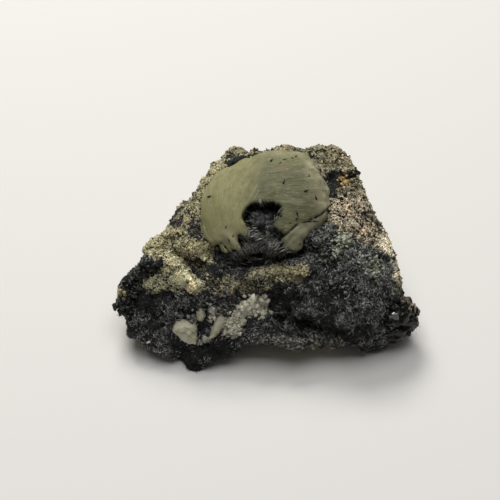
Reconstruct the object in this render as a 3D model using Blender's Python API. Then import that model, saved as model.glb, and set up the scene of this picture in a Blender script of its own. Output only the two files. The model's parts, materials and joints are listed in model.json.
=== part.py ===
"""Prehnite ball on matrix: a hand specimen of green-grey needle-covered rock
with one large fibrous prehnite ball in its upper half, small prehnite
crystals low on the left, and two crusts of black blocky crystals.

Metres, +Z up.  X runs along the specimen's long side, +Y to its back.
The form was surveyed from one direction, 50 degrees above the front, so
most shapes are given in survey coordinates: a and b in survey units across
and down the survey plane, and a height above the table in millimetres.
"""
import math

import bmesh
import bpy
import numpy as np
from mathutils import Matrix, Vector

# ---------------------------------------------------------------- dimensions
MM = 0.001
UNIT = 0.246            # one survey unit, in millimetres
CENTRE = 250.0          # survey coordinate of the survey axis
ELEVATION = 50.0        # survey direction above the horizontal, degrees
DISTANCE = 350.0        # survey point to the middle of the specimen, mm
MIDDLE = (0.0, 0.0, 15.0)
GAP = 0.3               # clearance between neighbouring solids, mm

BALL_CENTRE = (265, 213)      # survey position of the ball's middle
BALL_SEAT = 4.5               # thickness of the ball behind its rim, mm
BALL_TILT = 0.06              # depth gained per survey unit down the ball, mm
POCKET_DEPTH = 6.2            # depth of the needle pocket below the dome, mm

MATRIX_TRIANGLES = 3800
BALL_TRIANGLES = 1100
SEAT_TRIANGLES = 820

E = math.radians(ELEVATION)
RIGHT = np.array((1.0, 0.0, 0.0))
UP = np.array((0.0, math.sin(E), math.cos(E)))
TOWARD = np.array((0.0, -math.cos(E), math.sin(E)))
ORIGIN = np.array(MIDDLE)

# Rim of the specimen, clockwise from the notch beside the ball.
OUTLINE = [
    (259, 152), (249, 148), (240, 144), (233, 146), (227, 152), (222, 159),
    (215, 162), (210, 168), (209, 175), (203, 179), (199, 186), (193, 197),
    (190, 204), (184, 210), (177, 211), (170, 220), (168, 230), (160, 237),
    (152, 240), (147, 249), (144, 259), (138, 267), (128, 274), (121, 284),
    (117, 296), (114, 304), (118, 312), (125, 319), (129, 330), (130, 336),
    (140, 338), (148, 348), (156, 353), (170, 358), (182, 361), (187, 368),
    (195, 373), (203, 369), (213, 361), (226, 358), (238, 350), (241, 343),
    (255, 343), (268, 344), (283, 345), (292, 348), (308, 347), (320, 345),
    (335, 348), (350, 345), (362, 350), (370, 353), (383, 348), (390, 342),
    (399, 338), (408, 334), (413, 328), (418, 318), (416, 308), (410, 299),
    (400, 298), (398, 280), (395, 258), (388, 241), (380, 228), (375, 220),
    (371, 206), (363, 187), (359, 174), (352, 163), (343, 153), (333, 145),
    (322, 144), (305, 147), (292, 146), (277, 145), (266, 150),
]

# The same rim without its small notches, for the sides behind it.
PLAIN_OUTLINE = [
    (255, 150), (224, 155), (201, 184), (176, 212), (160, 236), (141, 262),
    (123, 284), (118, 304), (128, 328), (150, 347), (180, 357), (200, 366),
    (225, 355), (243, 342), (300, 345), (350, 344), (375, 350), (398, 336),
    (413, 318), (405, 300), (397, 270), (390, 245), (374, 216), (362, 186),
    (350, 162), (335, 149), (300, 149),
]

# Heights of the matrix above the table, read along the survey direction.
HEIGHTS = [
    (259, 152, 31), (240, 144, 30), (225, 155, 29.5), (212, 164, 29),
    (203, 179, 28.5), (193, 197, 27.5), (184, 210, 26.5), (170, 220, 25),
    (165, 233, 24), (147, 249, 22), (139, 264, 20), (125, 277, 16),
    (117, 296, 12), (114, 304, 11), (118, 312, 10), (127, 323, 8),
    (130, 336, 6.5), (142, 341, 6), (156, 353, 4), (170, 358, 3),
    (182, 361, 2), (187, 368, 1), (195, 373, 0), (203, 369, 1),
    (213, 361, 3), (226, 358, 4), (238, 350, 6), (241, 343, 8),
    (262, 345, 8), (283, 344, 8), (300, 348, 7.5), (320, 345, 7.5),
    (340, 348, 6), (353, 344, 6), (366, 352, 2.5), (374, 351, 1),
    (388, 345, 2), (397, 341, 4), (408, 334, 6), (418, 320, 8),
    (416, 310, 10), (411, 300, 13), (400, 298, 14), (397, 272, 18),
    (393, 252, 20), (385, 236, 22), (375, 222, 25), (371, 206, 26.5),
    (363, 187, 28), (356, 168, 30), (347, 157, 31), (337, 147, 32),
    (325, 145, 32), (305, 146, 32), (283, 146, 31.5), (268, 150, 31.5),
    # upper left bank beside the ball
    (240, 155, 30.5), (215, 175, 29), (160, 245, 23.5), (175, 235, 25),
    (190, 228, 26.5), (195, 213, 27), (190, 248, 24.5), (205, 255, 23),
    (182, 262, 21.5), (200, 276, 20), (190, 276, 20.5), (172, 262, 21.5),
    (160, 275, 19), (150, 285, 16.5), (135, 285, 15.5), (175, 290, 17),
    (200, 292, 18.5),
    # under the ball and the shelf below it
    (225, 180, 27.5), (265, 175, 28.5), (300, 175, 29), (225, 220, 25.5),
    (265, 220, 24), (300, 220, 26), (225, 255, 22.5), (245, 264, 20.5),
    (265, 258, 21), (295, 254, 22.5), (225, 276, 19.5), (240, 284, 19),
    (262, 268, 20.8), (285, 270, 21), (300, 268, 21.3), (270, 285, 19),
    (255, 297, 16.5), (225, 296, 17), (230, 305, 14.5), (250, 308, 13),
    (266, 304, 13.5), (245, 325, 9.8), (225, 328, 9.5),
    # steep lower left face and foot
    (150, 300, 13.5), (130, 300, 12.5), (150, 320, 9.5), (165, 340, 6.5),
    (178, 308, 13), (186, 330, 8.6), (200, 340, 7.6), (200, 355, 4.5),
    (182, 350, 4.5), (212, 346, 6.5), (205, 318, 11.5),
    # hollow and lower lip
    (290, 300, 15), (280, 312, 12), (300, 322, 11), (322, 329, 10.3),
    (345, 336, 8.8), (260, 326, 9.5), (285, 338, 8.6), (315, 339, 8.2),
    # right slope
    (320, 246, 25), (350, 250, 25), (340, 225, 27.5), (360, 215, 27.3),
    (345, 200, 28.6), (350, 180, 29.6), (335, 165, 30.8), (312, 152, 31.8),
    (370, 235, 25), (385, 255, 21.5), (370, 265, 22), (345, 270, 22.5),
    (320, 270, 22.5), (310, 285, 20.3), (330, 290, 19.6), (350, 300, 17.8),
    (375, 290, 18.6), (390, 290, 16.8), (390, 312, 12.8), (405, 318, 10.8),
    (373, 315, 14.5), (355, 322, 13.6), (370, 335, 9.8), (385, 335, 7.2),
    (370, 345, 5),
]

# Ridges (+) and grooves (-) of the matrix: path, half width, height in mm.
FOLDS = [
    ([(174, 253), (186, 262), (202, 270)], 6, -1.2),
    ([(150, 255), (165, 261), (180, 273), (197, 287)], 7, 1.0),
    ([(212, 252), (232, 265), (262, 264), (290, 256), (314, 251)], 6, -3.0),
    ([(243, 276), (262, 268), (285, 270), (305, 272)], 8, 1.8),
    ([(288, 293), (297, 309), (312, 314), (339, 323), (362, 341)], 5, 1.5),
    ([(262, 306), (282, 318), (310, 327), (338, 336)], 8, -1.6),
    ([(256, 338), (285, 343), (310, 341), (347, 342)], 6, 1.2),
    ([(119, 294), (128, 278), (145, 264), (160, 263)], 8, 1.0),
    ([(228, 160), (240, 158), (252, 154)], 6, -1.4),
    ([(322, 178), (338, 180), (352, 177)], 6, -0.9),
    ([(330, 182), (332, 195)], 5, -0.7),
]

# Broken faces of the back, the sides and the underside: outward normal and
# the distance of the face from the origin, mm.
FACES = [
    ((0.03, 0.97, 0.22), 26.3),
    ((0.80, 0.52, 0.22), 33.6),
    ((-0.72, 0.63, 0.28), 24.9),
    ((0.30, 0.86, -0.35), 23.5),
    ((-0.35, 0.80, -0.40), 19.5),
    ((0.05, 0.72, -0.69), 15.4),
    ((-0.76, 0.15, -0.63), 17.8),
    ((0.78, 0.18, -0.60), 25.6),
    ((0.55, 0.60, -0.58), 26.5),
]

# Dome of the ball: three overlapping lobes, each a survey position, radii
# across and down in survey units, depth of the middle and thickness in mm.
LOBES = [
    ((266, 211), (67.5, 64), 5.8, 7.0),
    ((238, 213), (42, 48), 6.2, 7.5),
    ((290, 200), (44, 47), 6.2, 7.3),
]
BALL_OUTLINE = [
    (200, 214), (201, 200), (205, 193), (208, 187), (211, 180), (215, 174),
    (222, 170), (230, 166), (240, 162), (250, 158), (257, 153), (270, 150),
    (285, 149), (300, 150), (306, 152), (310, 157), (318, 170), (326, 181),
    (331, 193), (331, 206), (330, 220), (324, 228), (312, 234), (303, 241),
    (298, 249), (288, 250), (278, 247), (262, 251), (245, 251), (232, 251),
    (224, 247), (214, 244), (206, 243), (202, 234), (199, 224),
]
POCKET_OUTLINE = [
    (249, 207), (255, 203), (266, 202), (274, 201), (281, 207), (280, 214),
    (275, 222), (274, 229), (281, 234), (283, 242), (280, 262), (246, 262),
    (243, 246), (248, 238), (250, 228), (245, 220), (244, 215),
]


# ------------------------------------------------------------- survey algebra
def lift(a, b, height):
    """Point at this height above the table on one survey line, in mm."""
    q = ORIGIN + (a - CENTRE) * UNIT * RIGHT + (CENTRE - b) * UNIT * UP
    eye = ORIGIN + DISTANCE * TOWARD
    s = (eye[2] - height) / (eye[2] - q[2])
    return eye + s * (q - eye)


def at_depth(a, b, w):
    """Point at depth w toward the survey point on one survey line, in mm."""
    k = 1.0 - w / DISTANCE
    return (ORIGIN + (a - CENTRE) * UNIT * k * RIGHT
            + (CENTRE - b) * UNIT * k * UP + w * TOWARD)


def survey(points):
    """Survey coordinates a, b and depth w of an (n, 3) array in mm."""
    rel = points - ORIGIN
    w = rel @ TOWARD
    k = DISTANCE / (DISTANCE - w)
    return (CENTRE + (rel @ RIGHT) * k / UNIT,
            CENTRE - (rel @ UP) * k / UNIT, w)


def smooth_min(x, y, k):
    h = np.maximum(k - np.abs(x - y), 0.0) / k
    return np.minimum(x, y) - h * h * k * 0.25


def smooth_max(x, y, k):
    return -smooth_min(-x, -y, k)


def inside_polygon(a, b, loop):
    """Distance from a closed loop, positive inside, in survey units."""
    best = np.full(a.shape, 1e9)
    inside = np.zeros(a.shape, bool)
    for (x0, y0), (x1, y1) in zip(loop, loop[1:] + loop[:1]):
        dx, dy = x1 - x0, y1 - y0
        t = np.clip(((a - x0) * dx + (b - y0) * dy) / (dx * dx + dy * dy), 0, 1)
        d = (a - x0 - t * dx) ** 2 + (b - y0 - t * dy) ** 2
        best = np.minimum(best, d)
        if y0 != y1:
            crosses = (b < y0) != (b < y1)
            inside ^= crosses & (a < x0 + (b - y0) * dx / dy)
    return np.where(inside, 1.0, -1.0) * np.sqrt(best)


def path_distance(a, b, path):
    best = np.full(a.shape, 1e9)
    for (x0, y0), (x1, y1) in zip(path, path[1:]):
        dx, dy = x1 - x0, y1 - y0
        t = np.clip(((a - x0) * dx + (b - y0) * dy) / (dx * dx + dy * dy), 0, 1)
        best = np.minimum(best, (a - x0 - t * dx) ** 2 + (b - y0 - t * dy) ** 2)
    return np.sqrt(best)


class Plate:
    """Thin-plate surface through scattered (a, b, value) points."""

    def __init__(self, points, stiffness=0.02):
        self.p = np.array([(a / 100.0, b / 100.0) for a, b, _ in points])
        v = np.array([v for _, _, v in points])
        n = len(v)
        m = np.zeros((n + 3, n + 3))
        m[:n, :n] = self.kernel(self.p[:, None, :] - self.p[None, :, :])
        m[:n, :n] += stiffness * np.eye(n)
        m[:n, n] = m[n, :n] = 1.0
        m[:n, n + 1:] = self.p
        m[n + 1:, :n] = self.p.T
        self.c = np.linalg.solve(m, np.append(v, (0.0, 0.0, 0.0)))

    @staticmethod
    def kernel(d):
        r = (d ** 2).sum(-1)
        return 0.5 * r * np.log(np.maximum(r, 1e-12))

    def __call__(self, a, b):
        q = np.stack((a / 100.0, b / 100.0), -1)
        out = self.c[-3] + q @ self.c[-2:]
        for i, p in enumerate(self.p):
            out = out + self.c[i] * self.kernel(q - p)
        return out


class Lumps:
    """Smooth seeded noise in space, about -1 to 1, at one lump size in mm."""

    def __init__(self, seed, size):
        self.size = size
        self.n = 24
        self.v = np.random.RandomState(seed).uniform(-1, 1, (self.n,) * 3)

    def __call__(self, p):
        q = p / self.size + 100.0
        i = np.floor(q).astype(int)
        f = q - i
        f = f * f * (3.0 - 2.0 * f)
        out = 0.0
        for dx in (0, 1):
            for dy in (0, 1):
                for dz in (0, 1):
                    w = ((f[:, 0] if dx else 1 - f[:, 0])
                         * (f[:, 1] if dy else 1 - f[:, 1])
                         * (f[:, 2] if dz else 1 - f[:, 2]))
                    out = out + w * self.v[(i[:, 0] + dx) % self.n,
                                           (i[:, 1] + dy) % self.n,
                                           (i[:, 2] + dz) % self.n]
        return out


def depth_of(a, b, h):
    return float((lift(a, b, h) - ORIGIN) @ TOWARD)


RELIEF = Plate([(a, b, depth_of(a, b, h)) for a, b, h in HEIGHTS])
BIG, MID = Lumps(11, 9.0), Lumps(12, 4.5)


def relief(a, b):
    w = RELIEF(a, b)
    for path, width, height in FOLDS:
        d = path_distance(a, b, path)
        w = w + height * np.exp(-(d / width) ** 2)
    return w


def matrix_field(p):
    """Positive inside the rock; p is an (n, 3) array in mm."""
    a, b, w = survey(p)
    top = relief(a, b)
    behind = np.maximum(top - w, 0.0)
    t = np.clip((behind - 1.0) / 6.0, 0.0, 1.0)
    t = t * t * (3.0 - 2.0 * t)
    rim = UNIT * ((1.0 - t) * inside_polygon(a, b, OUTLINE)
                  + t * inside_polygon(a, b, PLAIN_OUTLINE))
    back = smooth_max(behind - 3.0, 0.0 * behind, 2.0)
    lumps, bumps = BIG(p), MID(p)
    hidden = np.clip(back / 6.0, 0.0, 1.0)
    f = smooth_min(top - w + 0.25 * bumps,
                   rim - 0.16 * back + hidden * (0.9 * lumps + 0.5 * bumps),
                   1.0)
    for n, d in FACES:
        n = np.array(n) / np.linalg.norm(n)
        f = smooth_min(f, d - p @ n + 0.8 * lumps + 0.45 * bumps, 1.6)
    floor = p[:, 2] - 0.05 + 1.3 * lumps + 0.5 * bumps
    return smooth_min(f, floor, 1.2)


def ball_field(p):
    """Positive inside the ball."""
    a, b, w = survey(p)
    w = w - BALL_TILT * (b - BALL_CENTRE[1])
    f = np.full(a.shape, -1e3)
    for (ca, cb), (ra, rb), wc, thick in LOBES:
        r = np.sqrt(((a - ca) / ra) ** 2 + ((b - cb) / rb) ** 2
                    + ((w - wc) / thick) ** 2)
        g = (1.0 - r) * thick
        f = smooth_max(f, g, 2.5)
    f = smooth_min(f, inside_polygon(a, b, BALL_OUTLINE) * UNIT, 1.4)
    return smooth_min(f, w - LOBES[0][2] + BALL_SEAT, 1.0)


def pocket_field(p, grow=0.0):
    """Positive inside the hollow that opens on the ball's lower edge."""
    a, b, w = survey(p)
    side = inside_polygon(a, b, POCKET_OUTLINE) * UNIT
    floor = w - (12.6 - POCKET_DEPTH) - 0.020 * (250 - b)
    return smooth_min(smooth_min(side, floor, 1.6), 18.0 - w, 1.0) + grow


# -------------------------------------------------------------- mesh building
def material(name, colour, roughness, metallic=0.0):
    m = bpy.data.materials.new(name)
    m.use_nodes = True
    b = m.node_tree.nodes["Principled BSDF"]
    b.inputs["Base Color"].default_value = (*colour, 1.0)
    b.inputs["Roughness"].default_value = roughness
    b.inputs["Metallic"].default_value = metallic
    m.diffuse_color = (*colour, 1.0)
    return m


def add_object(name, bm, mat, smooth=False):
    mesh = bpy.data.meshes.new(name)
    bm.to_mesh(mesh)
    bm.free()
    ob = bpy.data.objects.new(name, mesh)
    bpy.context.scene.collection.objects.link(ob)
    if mat:
        mesh.materials.append(mat)
    if smooth:
        mesh.shade_smooth()
        mesh.set_sharp_from_angle(angle=math.radians(40))
    return ob


def carve_sphere(name, centre, field, mat, subdivisions, reach=70.0,
                 triangles=0, smooth=False):
    """An icosphere whose points are drawn in along their radii until they
    meet the field's surface; then thinned to about so many triangles."""
    bm = bmesh.new()
    bmesh.ops.create_icosphere(bm, subdivisions=subdivisions, radius=1.0)
    dirs = np.array([v.co[:] for v in bm.verts])
    dirs /= np.linalg.norm(dirs, axis=1)[:, None]
    c = np.array(centre)
    step = 0.3
    r = np.full(len(dirs), reach)
    done = np.zeros(len(dirs), bool)
    while not done.all() and r.max() > 0:
        live = np.where(~done)[0]
        hit = field(c + dirs[live] * (r[live] - step)[:, None]) > 0
        done[live[hit]] = True
        r[live[~hit]] -= step
        if (r <= step).any():
            done |= r <= step
    lo, hi = r - step, r.copy()
    for _ in range(14):
        mid = 0.5 * (lo + hi)
        inside = field(c + dirs * mid[:, None]) > 0
        lo = np.where(inside, mid, lo)
        hi = np.where(inside, hi, mid)
    pts = (c + dirs * (0.5 * (lo + hi))[:, None]) * MM
    for v, p in zip(bm.verts, pts):
        v.co = p
    bmesh.ops.recalc_face_normals(bm, faces=bm.faces)
    ob = add_object(name, bm, mat, smooth)
    if triangles:
        ratio = triangles / len(ob.data.polygons)
        if ratio < 1.0:
            m = ob.modifiers.new("thin", 'DECIMATE')
            m.ratio = ratio
    return ob


def apply_modifiers(ob):
    dg = bpy.context.evaluated_depsgraph_get()
    dg.update()
    mesh = bpy.data.meshes.new_from_object(ob.evaluated_get(dg))
    old = ob.data
    ob.modifiers.clear()
    ob.data = mesh
    mesh.name = ob.name
    bpy.data.meshes.remove(old)


def cutter(ob):
    ob.hide_render = True
    ob.display_type = 'WIRE'
    return ob


def boolean(ob, other, operation='DIFFERENCE'):
    m = ob.modifiers.new(other.name, 'BOOLEAN')
    m.operation = operation
    m.solver = 'EXACT'
    m.object = other


def frame_at(a, b, w, tilt=0.0, lean=(0.0, 0.0)):
    """Axes across, up and toward the survey point, turned and leaned."""
    x, y, z = (Vector(v) for v in (RIGHT, UP, TOWARD))
    m = Matrix((x, y, z)).transposed()
    m = m @ Matrix.Rotation(math.radians(tilt), 3, 'Z')
    m = m @ Matrix.Rotation(math.radians(lean[0]), 3, 'X')
    m = m @ Matrix.Rotation(math.radians(lean[1]), 3, 'Y')
    return m, Vector(at_depth(a, b, w))


def bead_mesh(a, b, w, radii, tilt, grow=0.0, rough=0.0, seed=1, detail=3):
    """A rounded crystal bunch: an ellipsoid with a slightly lumpy skin."""
    m, c = frame_at(a, b, w, tilt)
    bm = bmesh.new()
    bmesh.ops.create_icosphere(bm, subdivisions=detail, radius=1.0)
    lump = Lumps(seed, 0.9)
    n = np.array([v.co[:] for v in bm.verts])
    k = 1.0 + rough * lump(n)
    for v, s in zip(bm.verts, k):
        p = Vector([v.co[i] * (radii[i] * s + grow) for i in range(3)])
        v.co = (m @ p + c) * MM
    bmesh.ops.recalc_face_normals(bm, faces=bm.faces)
    return bm


def block_mesh(blocks, grow=0.0, bevel=0.22):
    """Blocky crystals: each a box with chipped edges, in survey position."""
    bms = []
    for a, b, w, size, tilt, lean in blocks:
        m, c = frame_at(a, b, w, tilt, lean)
        bm = bmesh.new()
        bmesh.ops.create_cube(bm, size=1.0)
        for v in bm.verts:
            v.co = Vector([v.co[i] * (size[i] + 2 * grow) for i in range(3)])
        if bevel:
            bmesh.ops.bevel(bm, geom=list(bm.edges), offset=bevel, segments=1,
                            affect='EDGES', profile=0.5, clamp_overlap=True)
        for v in bm.verts:
            v.co = (m @ v.co + c) * MM
        bms.append(bm)
    return bms


def joined_blocks(name, blocks, mat, grow=0.0, bevel=0.22):
    """Crystals grown together, as one closed solid."""
    obs = [add_object(f"{name}_{i}", bm, mat)
           for i, bm in enumerate(block_mesh(blocks, grow, bevel))]
    first = obs[0]
    for ob in obs[1:]:
        boolean(first, ob, 'UNION')
    apply_modifiers(first)
    for ob in obs[1:]:
        bpy.data.objects.remove(ob)
    first.name = name
    return first


def wedge_mesh(loop, w_front, w_back, taper):
    """A thin fan of fibres: a loop in survey position, drawn back in depth."""
    bm = bmesh.new()
    ca = sum(a for a, _ in loop) / len(loop)
    cb = sum(b for _, b in loop) / len(loop)
    front = [bm.verts.new(Vector(at_depth(ca + (a - ca) * taper,
                                          cb + (b - cb) * taper,
                                          w_front(a, b))) * MM)
             for a, b in loop]
    back = [bm.verts.new(Vector(at_depth(a, b, w_back)) * MM) for a, b in loop]
    cap = bm.verts.new(Vector(at_depth(ca, cb, w_front(ca, cb) + 0.35)) * MM)
    n = len(loop)
    for i in range(n):
        j = (i + 1) % n
        bm.faces.new((front[i], front[j], cap))
        bm.faces.new((back[i], back[j], front[j], front[i]))
    bm.faces.new(back)
    bmesh.ops.recalc_face_normals(bm, faces=bm.faces)
    return bm


# ------------------------------------------------------------------- assembly
def build():
    for ob in list(bpy.data.objects):
        bpy.data.objects.remove(ob, do_unlink=True)

    rock = material("rock_green_grey", (0.16, 0.15, 0.11), 0.9)
    green = material("prehnite_sage", (0.36, 0.37, 0.23), 0.42)
    pale = material("prehnite_pale", (0.42, 0.40, 0.30), 0.5)
    needle = material("needles_dark", (0.05, 0.055, 0.05), 0.6)
    black = material("crystal_black", (0.015, 0.016, 0.015), 0.3)

    def matrix_depth(a, b):
        return float(relief(np.array([float(a)]), np.array([float(b)]))[0])

    # the rock, sat on flattened patches of its rough underside
    matrix = carve_sphere("matrix", (2.0, -2.0, 14.0), matrix_field, rock, 6,
                          triangles=MATRIX_TRIANGLES)
    apply_modifiers(matrix)
    bm = bmesh.new()
    bmesh.ops.create_cube(bm, size=1.0)
    for v in bm.verts:
        v.co = Vector((v.co.x * 0.2, v.co.y * 0.2, v.co.z * 0.02 - 0.01))
    boolean(matrix, cutter(add_object("table_cut", bm, None)))

    # the ball in its seat, with the needle pocket cut in its lower edge
    ball_middle = at_depth(262, 198, 4.2)
    ball = carve_sphere("prehnite_ball", ball_middle, ball_field, green, 5,
                        reach=26.0, triangles=BALL_TRIANGLES, smooth=True)
    apply_modifiers(ball)
    seat = carve_sphere("ball_seat", ball_middle,
                        lambda p: ball_field(p) + GAP + 0.1, None, 5,
                        reach=28.0, triangles=SEAT_TRIANGLES)
    apply_modifiers(seat)
    boolean(matrix, cutter(seat))

    pocket_middle = at_depth(264, 232, 11.5)
    pocket = carve_sphere("pocket_cut", pocket_middle, pocket_field, None, 4,
                          reach=16.0, triangles=260)
    apply_modifiers(pocket)
    boolean(ball, cutter(pocket))
    boolean(matrix, pocket)

    def pocket_bunch(p):
        a, b, w = survey(p)
        f = pocket_field(p, -GAP - 0.15)
        dome = 10.6 - 1.1 * ((a - 263) / 18.0) ** 2 - w
        dome = dome + 0.25 * MID(p)
        return smooth_min(smooth_min(f, dome, 0.8), (249.5 - b) * UNIT, 0.8)

    carve_sphere("pocket_needles", at_depth(263, 229, 8.8), pocket_bunch,
                 needle, 4, reach=14.0, triangles=260)

    # small prehnite crystals
    beads = [
        ("prehnite_bead_lower", 185, 331, (2.95, 3.15, 2.3), -12, 1.0, green),
        ("prehnite_bead_upper", 200, 312, (1.35, 2.3, 1.5), -18, 0.55, pale),
        ("prehnite_knob_right", 345, 240, (1.75, 1.5, 1.2), 20, 0.3, green),
        ("pale_crystal_middle", 246, 310, (1.7, 2.1, 1.3), 25, 0.35, pale),
        ("pale_crystal_right", 262, 307, (1.6, 1.8, 1.2), -10, 0.35, pale),
    ]
    for i, (name, a, b, radii, tilt, rise, mat) in enumerate(beads):
        w = matrix_depth(a, b) - 0.35 * radii[2] + rise
        add_object(name, bead_mesh(a, b, w, radii, tilt, rough=0.05,
                                   seed=30 + i), mat, smooth=True)
        hole = add_object(name + "_seat",
                          bead_mesh(a, b, w, radii, tilt, grow=GAP + 0.15,
                                    detail=2), None)
        boolean(matrix, cutter(hole))

    fan = [(218, 311), (227, 311), (228, 320), (223, 331), (217, 337),
           (210, 340), (207, 337), (210, 330), (213, 321)]
    def fan_front(a, b):
        return matrix_depth(a, b) + 0.9
    back_w = min(matrix_depth(a, b) for a, b in fan) - 1.2
    add_object("prehnite_fan", wedge_mesh(fan, fan_front, back_w, 0.93), pale)
    ca = sum(a for a, _ in fan) / len(fan)
    cb = sum(b for _, b in fan) / len(fan)
    def outward(a, b, by):
        d = math.hypot(a - ca, b - cb)
        return (a + (a - ca) / d * by, b + (b - cb) / d * by)
    wide = [outward(a, b, (GAP + 0.12) / UNIT) for a, b in fan]
    boolean(matrix, cutter(add_object(
        "fan_seat", wedge_mesh(wide, lambda a, b: fan_front(a, b) + 3.0,
                               back_w - GAP, 1.0), None)))

    # black blocky crystals on the right tip and along the left shoulder
    def on_rock(a, b, sink=0.0):
        return matrix_depth(a, b) - sink

    right = [
        (398, 311, on_rock(398, 311), (3.4, 2.8, 2.6), 12, (-14, 10)),
        (409, 309, on_rock(409, 309, 0.6), (2.8, 2.6, 2.6), 35, (8, 20)),
        (393, 323, on_rock(393, 323), (2.7, 2.5, 2.3), -20, (-20, 5)),
        (407, 322, on_rock(407, 322, 0.3), (3.6, 3.0, 2.6), 8, (-10, 25)),
        (399, 331, on_rock(399, 331, 0.1), (2.9, 2.4, 2.4), 50, (-25, 0)),
        (414, 322, on_rock(412, 320, 1.2), (2.0, 2.6, 2.4), 20, (0, 30)),
        (389, 334, on_rock(389, 334, 0.2), (2.3, 2.1, 2.0), 15, (-30, -5)),
        (401, 318, on_rock(401, 318, 0.0), (3.2, 3.2, 2.6), -30, (-5, 15)),
    ]
    left = [
        (121, 303, on_rock(121, 303, 0.2), (2.6, 2.4, 2.4), 30, (-10, -15)),
        (123, 293, on_rock(123, 293, 0.2), (2.4, 2.8, 2.2), 10, (0, -20)),
        (128, 283, on_rock(128, 283, 0.2), (2.8, 2.6, 2.2), -25, (5, -10)),
        (137, 276, on_rock(137, 276, 0.2), (3.2, 2.6, 2.3), 40, (0, -10)),
        (128, 298, on_rock(128, 298, 0.4), (3.0, 3.0, 2.2), 55, (-20, 0)),
        (146, 269, on_rock(146, 269, 0.2), (3.0, 2.4, 2.1), 15, (10, 0)),
        (154, 265, on_rock(154, 265, 0.2), (2.4, 2.2, 1.9), -10, (0, 5)),
        (124, 310, on_rock(124, 310, 0.5), (2.4, 2.4, 2.2), 20, (-25, -5)),
        (132, 290, on_rock(132, 290, 0.4), (3.0, 3.4, 2.2), -5, (-8, -5)),
    ]
    for name, blocks in (("black_crystals_right", right),
                         ("black_crystals_left", left)):
        joined_blocks(name, blocks, black)
        seat = joined_blocks(name + "_seat", blocks, None,
                             grow=GAP + 0.02, bevel=0.0)
        boolean(matrix, cutter(seat))

    # stand the specimen on z = 0 with its box centred over the origin
    bpy.context.view_layer.update()
    dg = bpy.context.evaluated_depsgraph_get()
    lo, hi = Vector((1e9,) * 3), Vector((-1e9,) * 3)
    for ob in bpy.data.objects:
        if ob.hide_render:
            continue
        me = ob.evaluated_get(dg).to_mesh()
        for v in me.vertices:
            for i in range(3):
                lo[i] = min(lo[i], v.co[i])
                hi[i] = max(hi[i], v.co[i])
    shift = Vector((-(lo.x + hi.x) / 2, -(lo.y + hi.y) / 2, -lo.z))
    for ob in bpy.data.objects:
        ob.location = shift
    print("box", [round(v * 1000, 3) for v in (hi - lo)],
          "shift", [round(v * 1000, 4) for v in shift])


build()
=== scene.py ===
import json
import math
import time

import bmesh
import bpy
from mathutils.bvhtree import BVHTree
import numpy as np
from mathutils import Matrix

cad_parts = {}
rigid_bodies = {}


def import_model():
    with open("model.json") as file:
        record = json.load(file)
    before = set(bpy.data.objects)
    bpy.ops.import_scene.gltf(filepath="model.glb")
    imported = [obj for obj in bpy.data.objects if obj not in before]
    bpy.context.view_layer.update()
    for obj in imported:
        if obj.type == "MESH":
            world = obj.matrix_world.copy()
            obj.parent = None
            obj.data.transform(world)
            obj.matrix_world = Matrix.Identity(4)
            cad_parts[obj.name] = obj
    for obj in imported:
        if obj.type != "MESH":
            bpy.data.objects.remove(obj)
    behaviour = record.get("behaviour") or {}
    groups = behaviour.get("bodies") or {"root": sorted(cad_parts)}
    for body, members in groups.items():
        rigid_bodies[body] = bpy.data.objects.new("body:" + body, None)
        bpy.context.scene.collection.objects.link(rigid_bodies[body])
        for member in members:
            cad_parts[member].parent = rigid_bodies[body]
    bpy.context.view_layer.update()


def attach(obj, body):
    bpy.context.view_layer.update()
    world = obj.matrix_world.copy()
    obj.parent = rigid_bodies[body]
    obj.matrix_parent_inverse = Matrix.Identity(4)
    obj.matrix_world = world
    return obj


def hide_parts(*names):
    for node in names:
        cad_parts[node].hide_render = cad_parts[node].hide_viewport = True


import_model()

import openvdb
from mathutils import Matrix, Vector

T0 = time.time()


def stamp(text):
    print(f"[{time.time() - T0:6.1f} s] {text}")


# ---------------------------------------------------------------- dimensions
# Lengths are in millimetres until a mesh is made.  Survey coordinates a, b
# run across and down, w toward the viewer, as in the solids' own design.
MM = 0.001
GAIN = 1.85
SHIFT = np.array((-4.1857, 0.2195, 0.0))
UNIT = 0.246
CENTRE = 250.0
ELEVATION = 50.0
DISTANCE = 350.0
E = math.radians(ELEVATION)
RIGHT = np.array((1.0, 0.0, 0.0))
UP = np.array((0.0, math.sin(E), math.cos(E)))
TOWARD = np.array((0.0, -math.cos(E), math.sin(E)))
ORIGIN = np.array((0.0, 0.0, 15.0))

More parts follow.
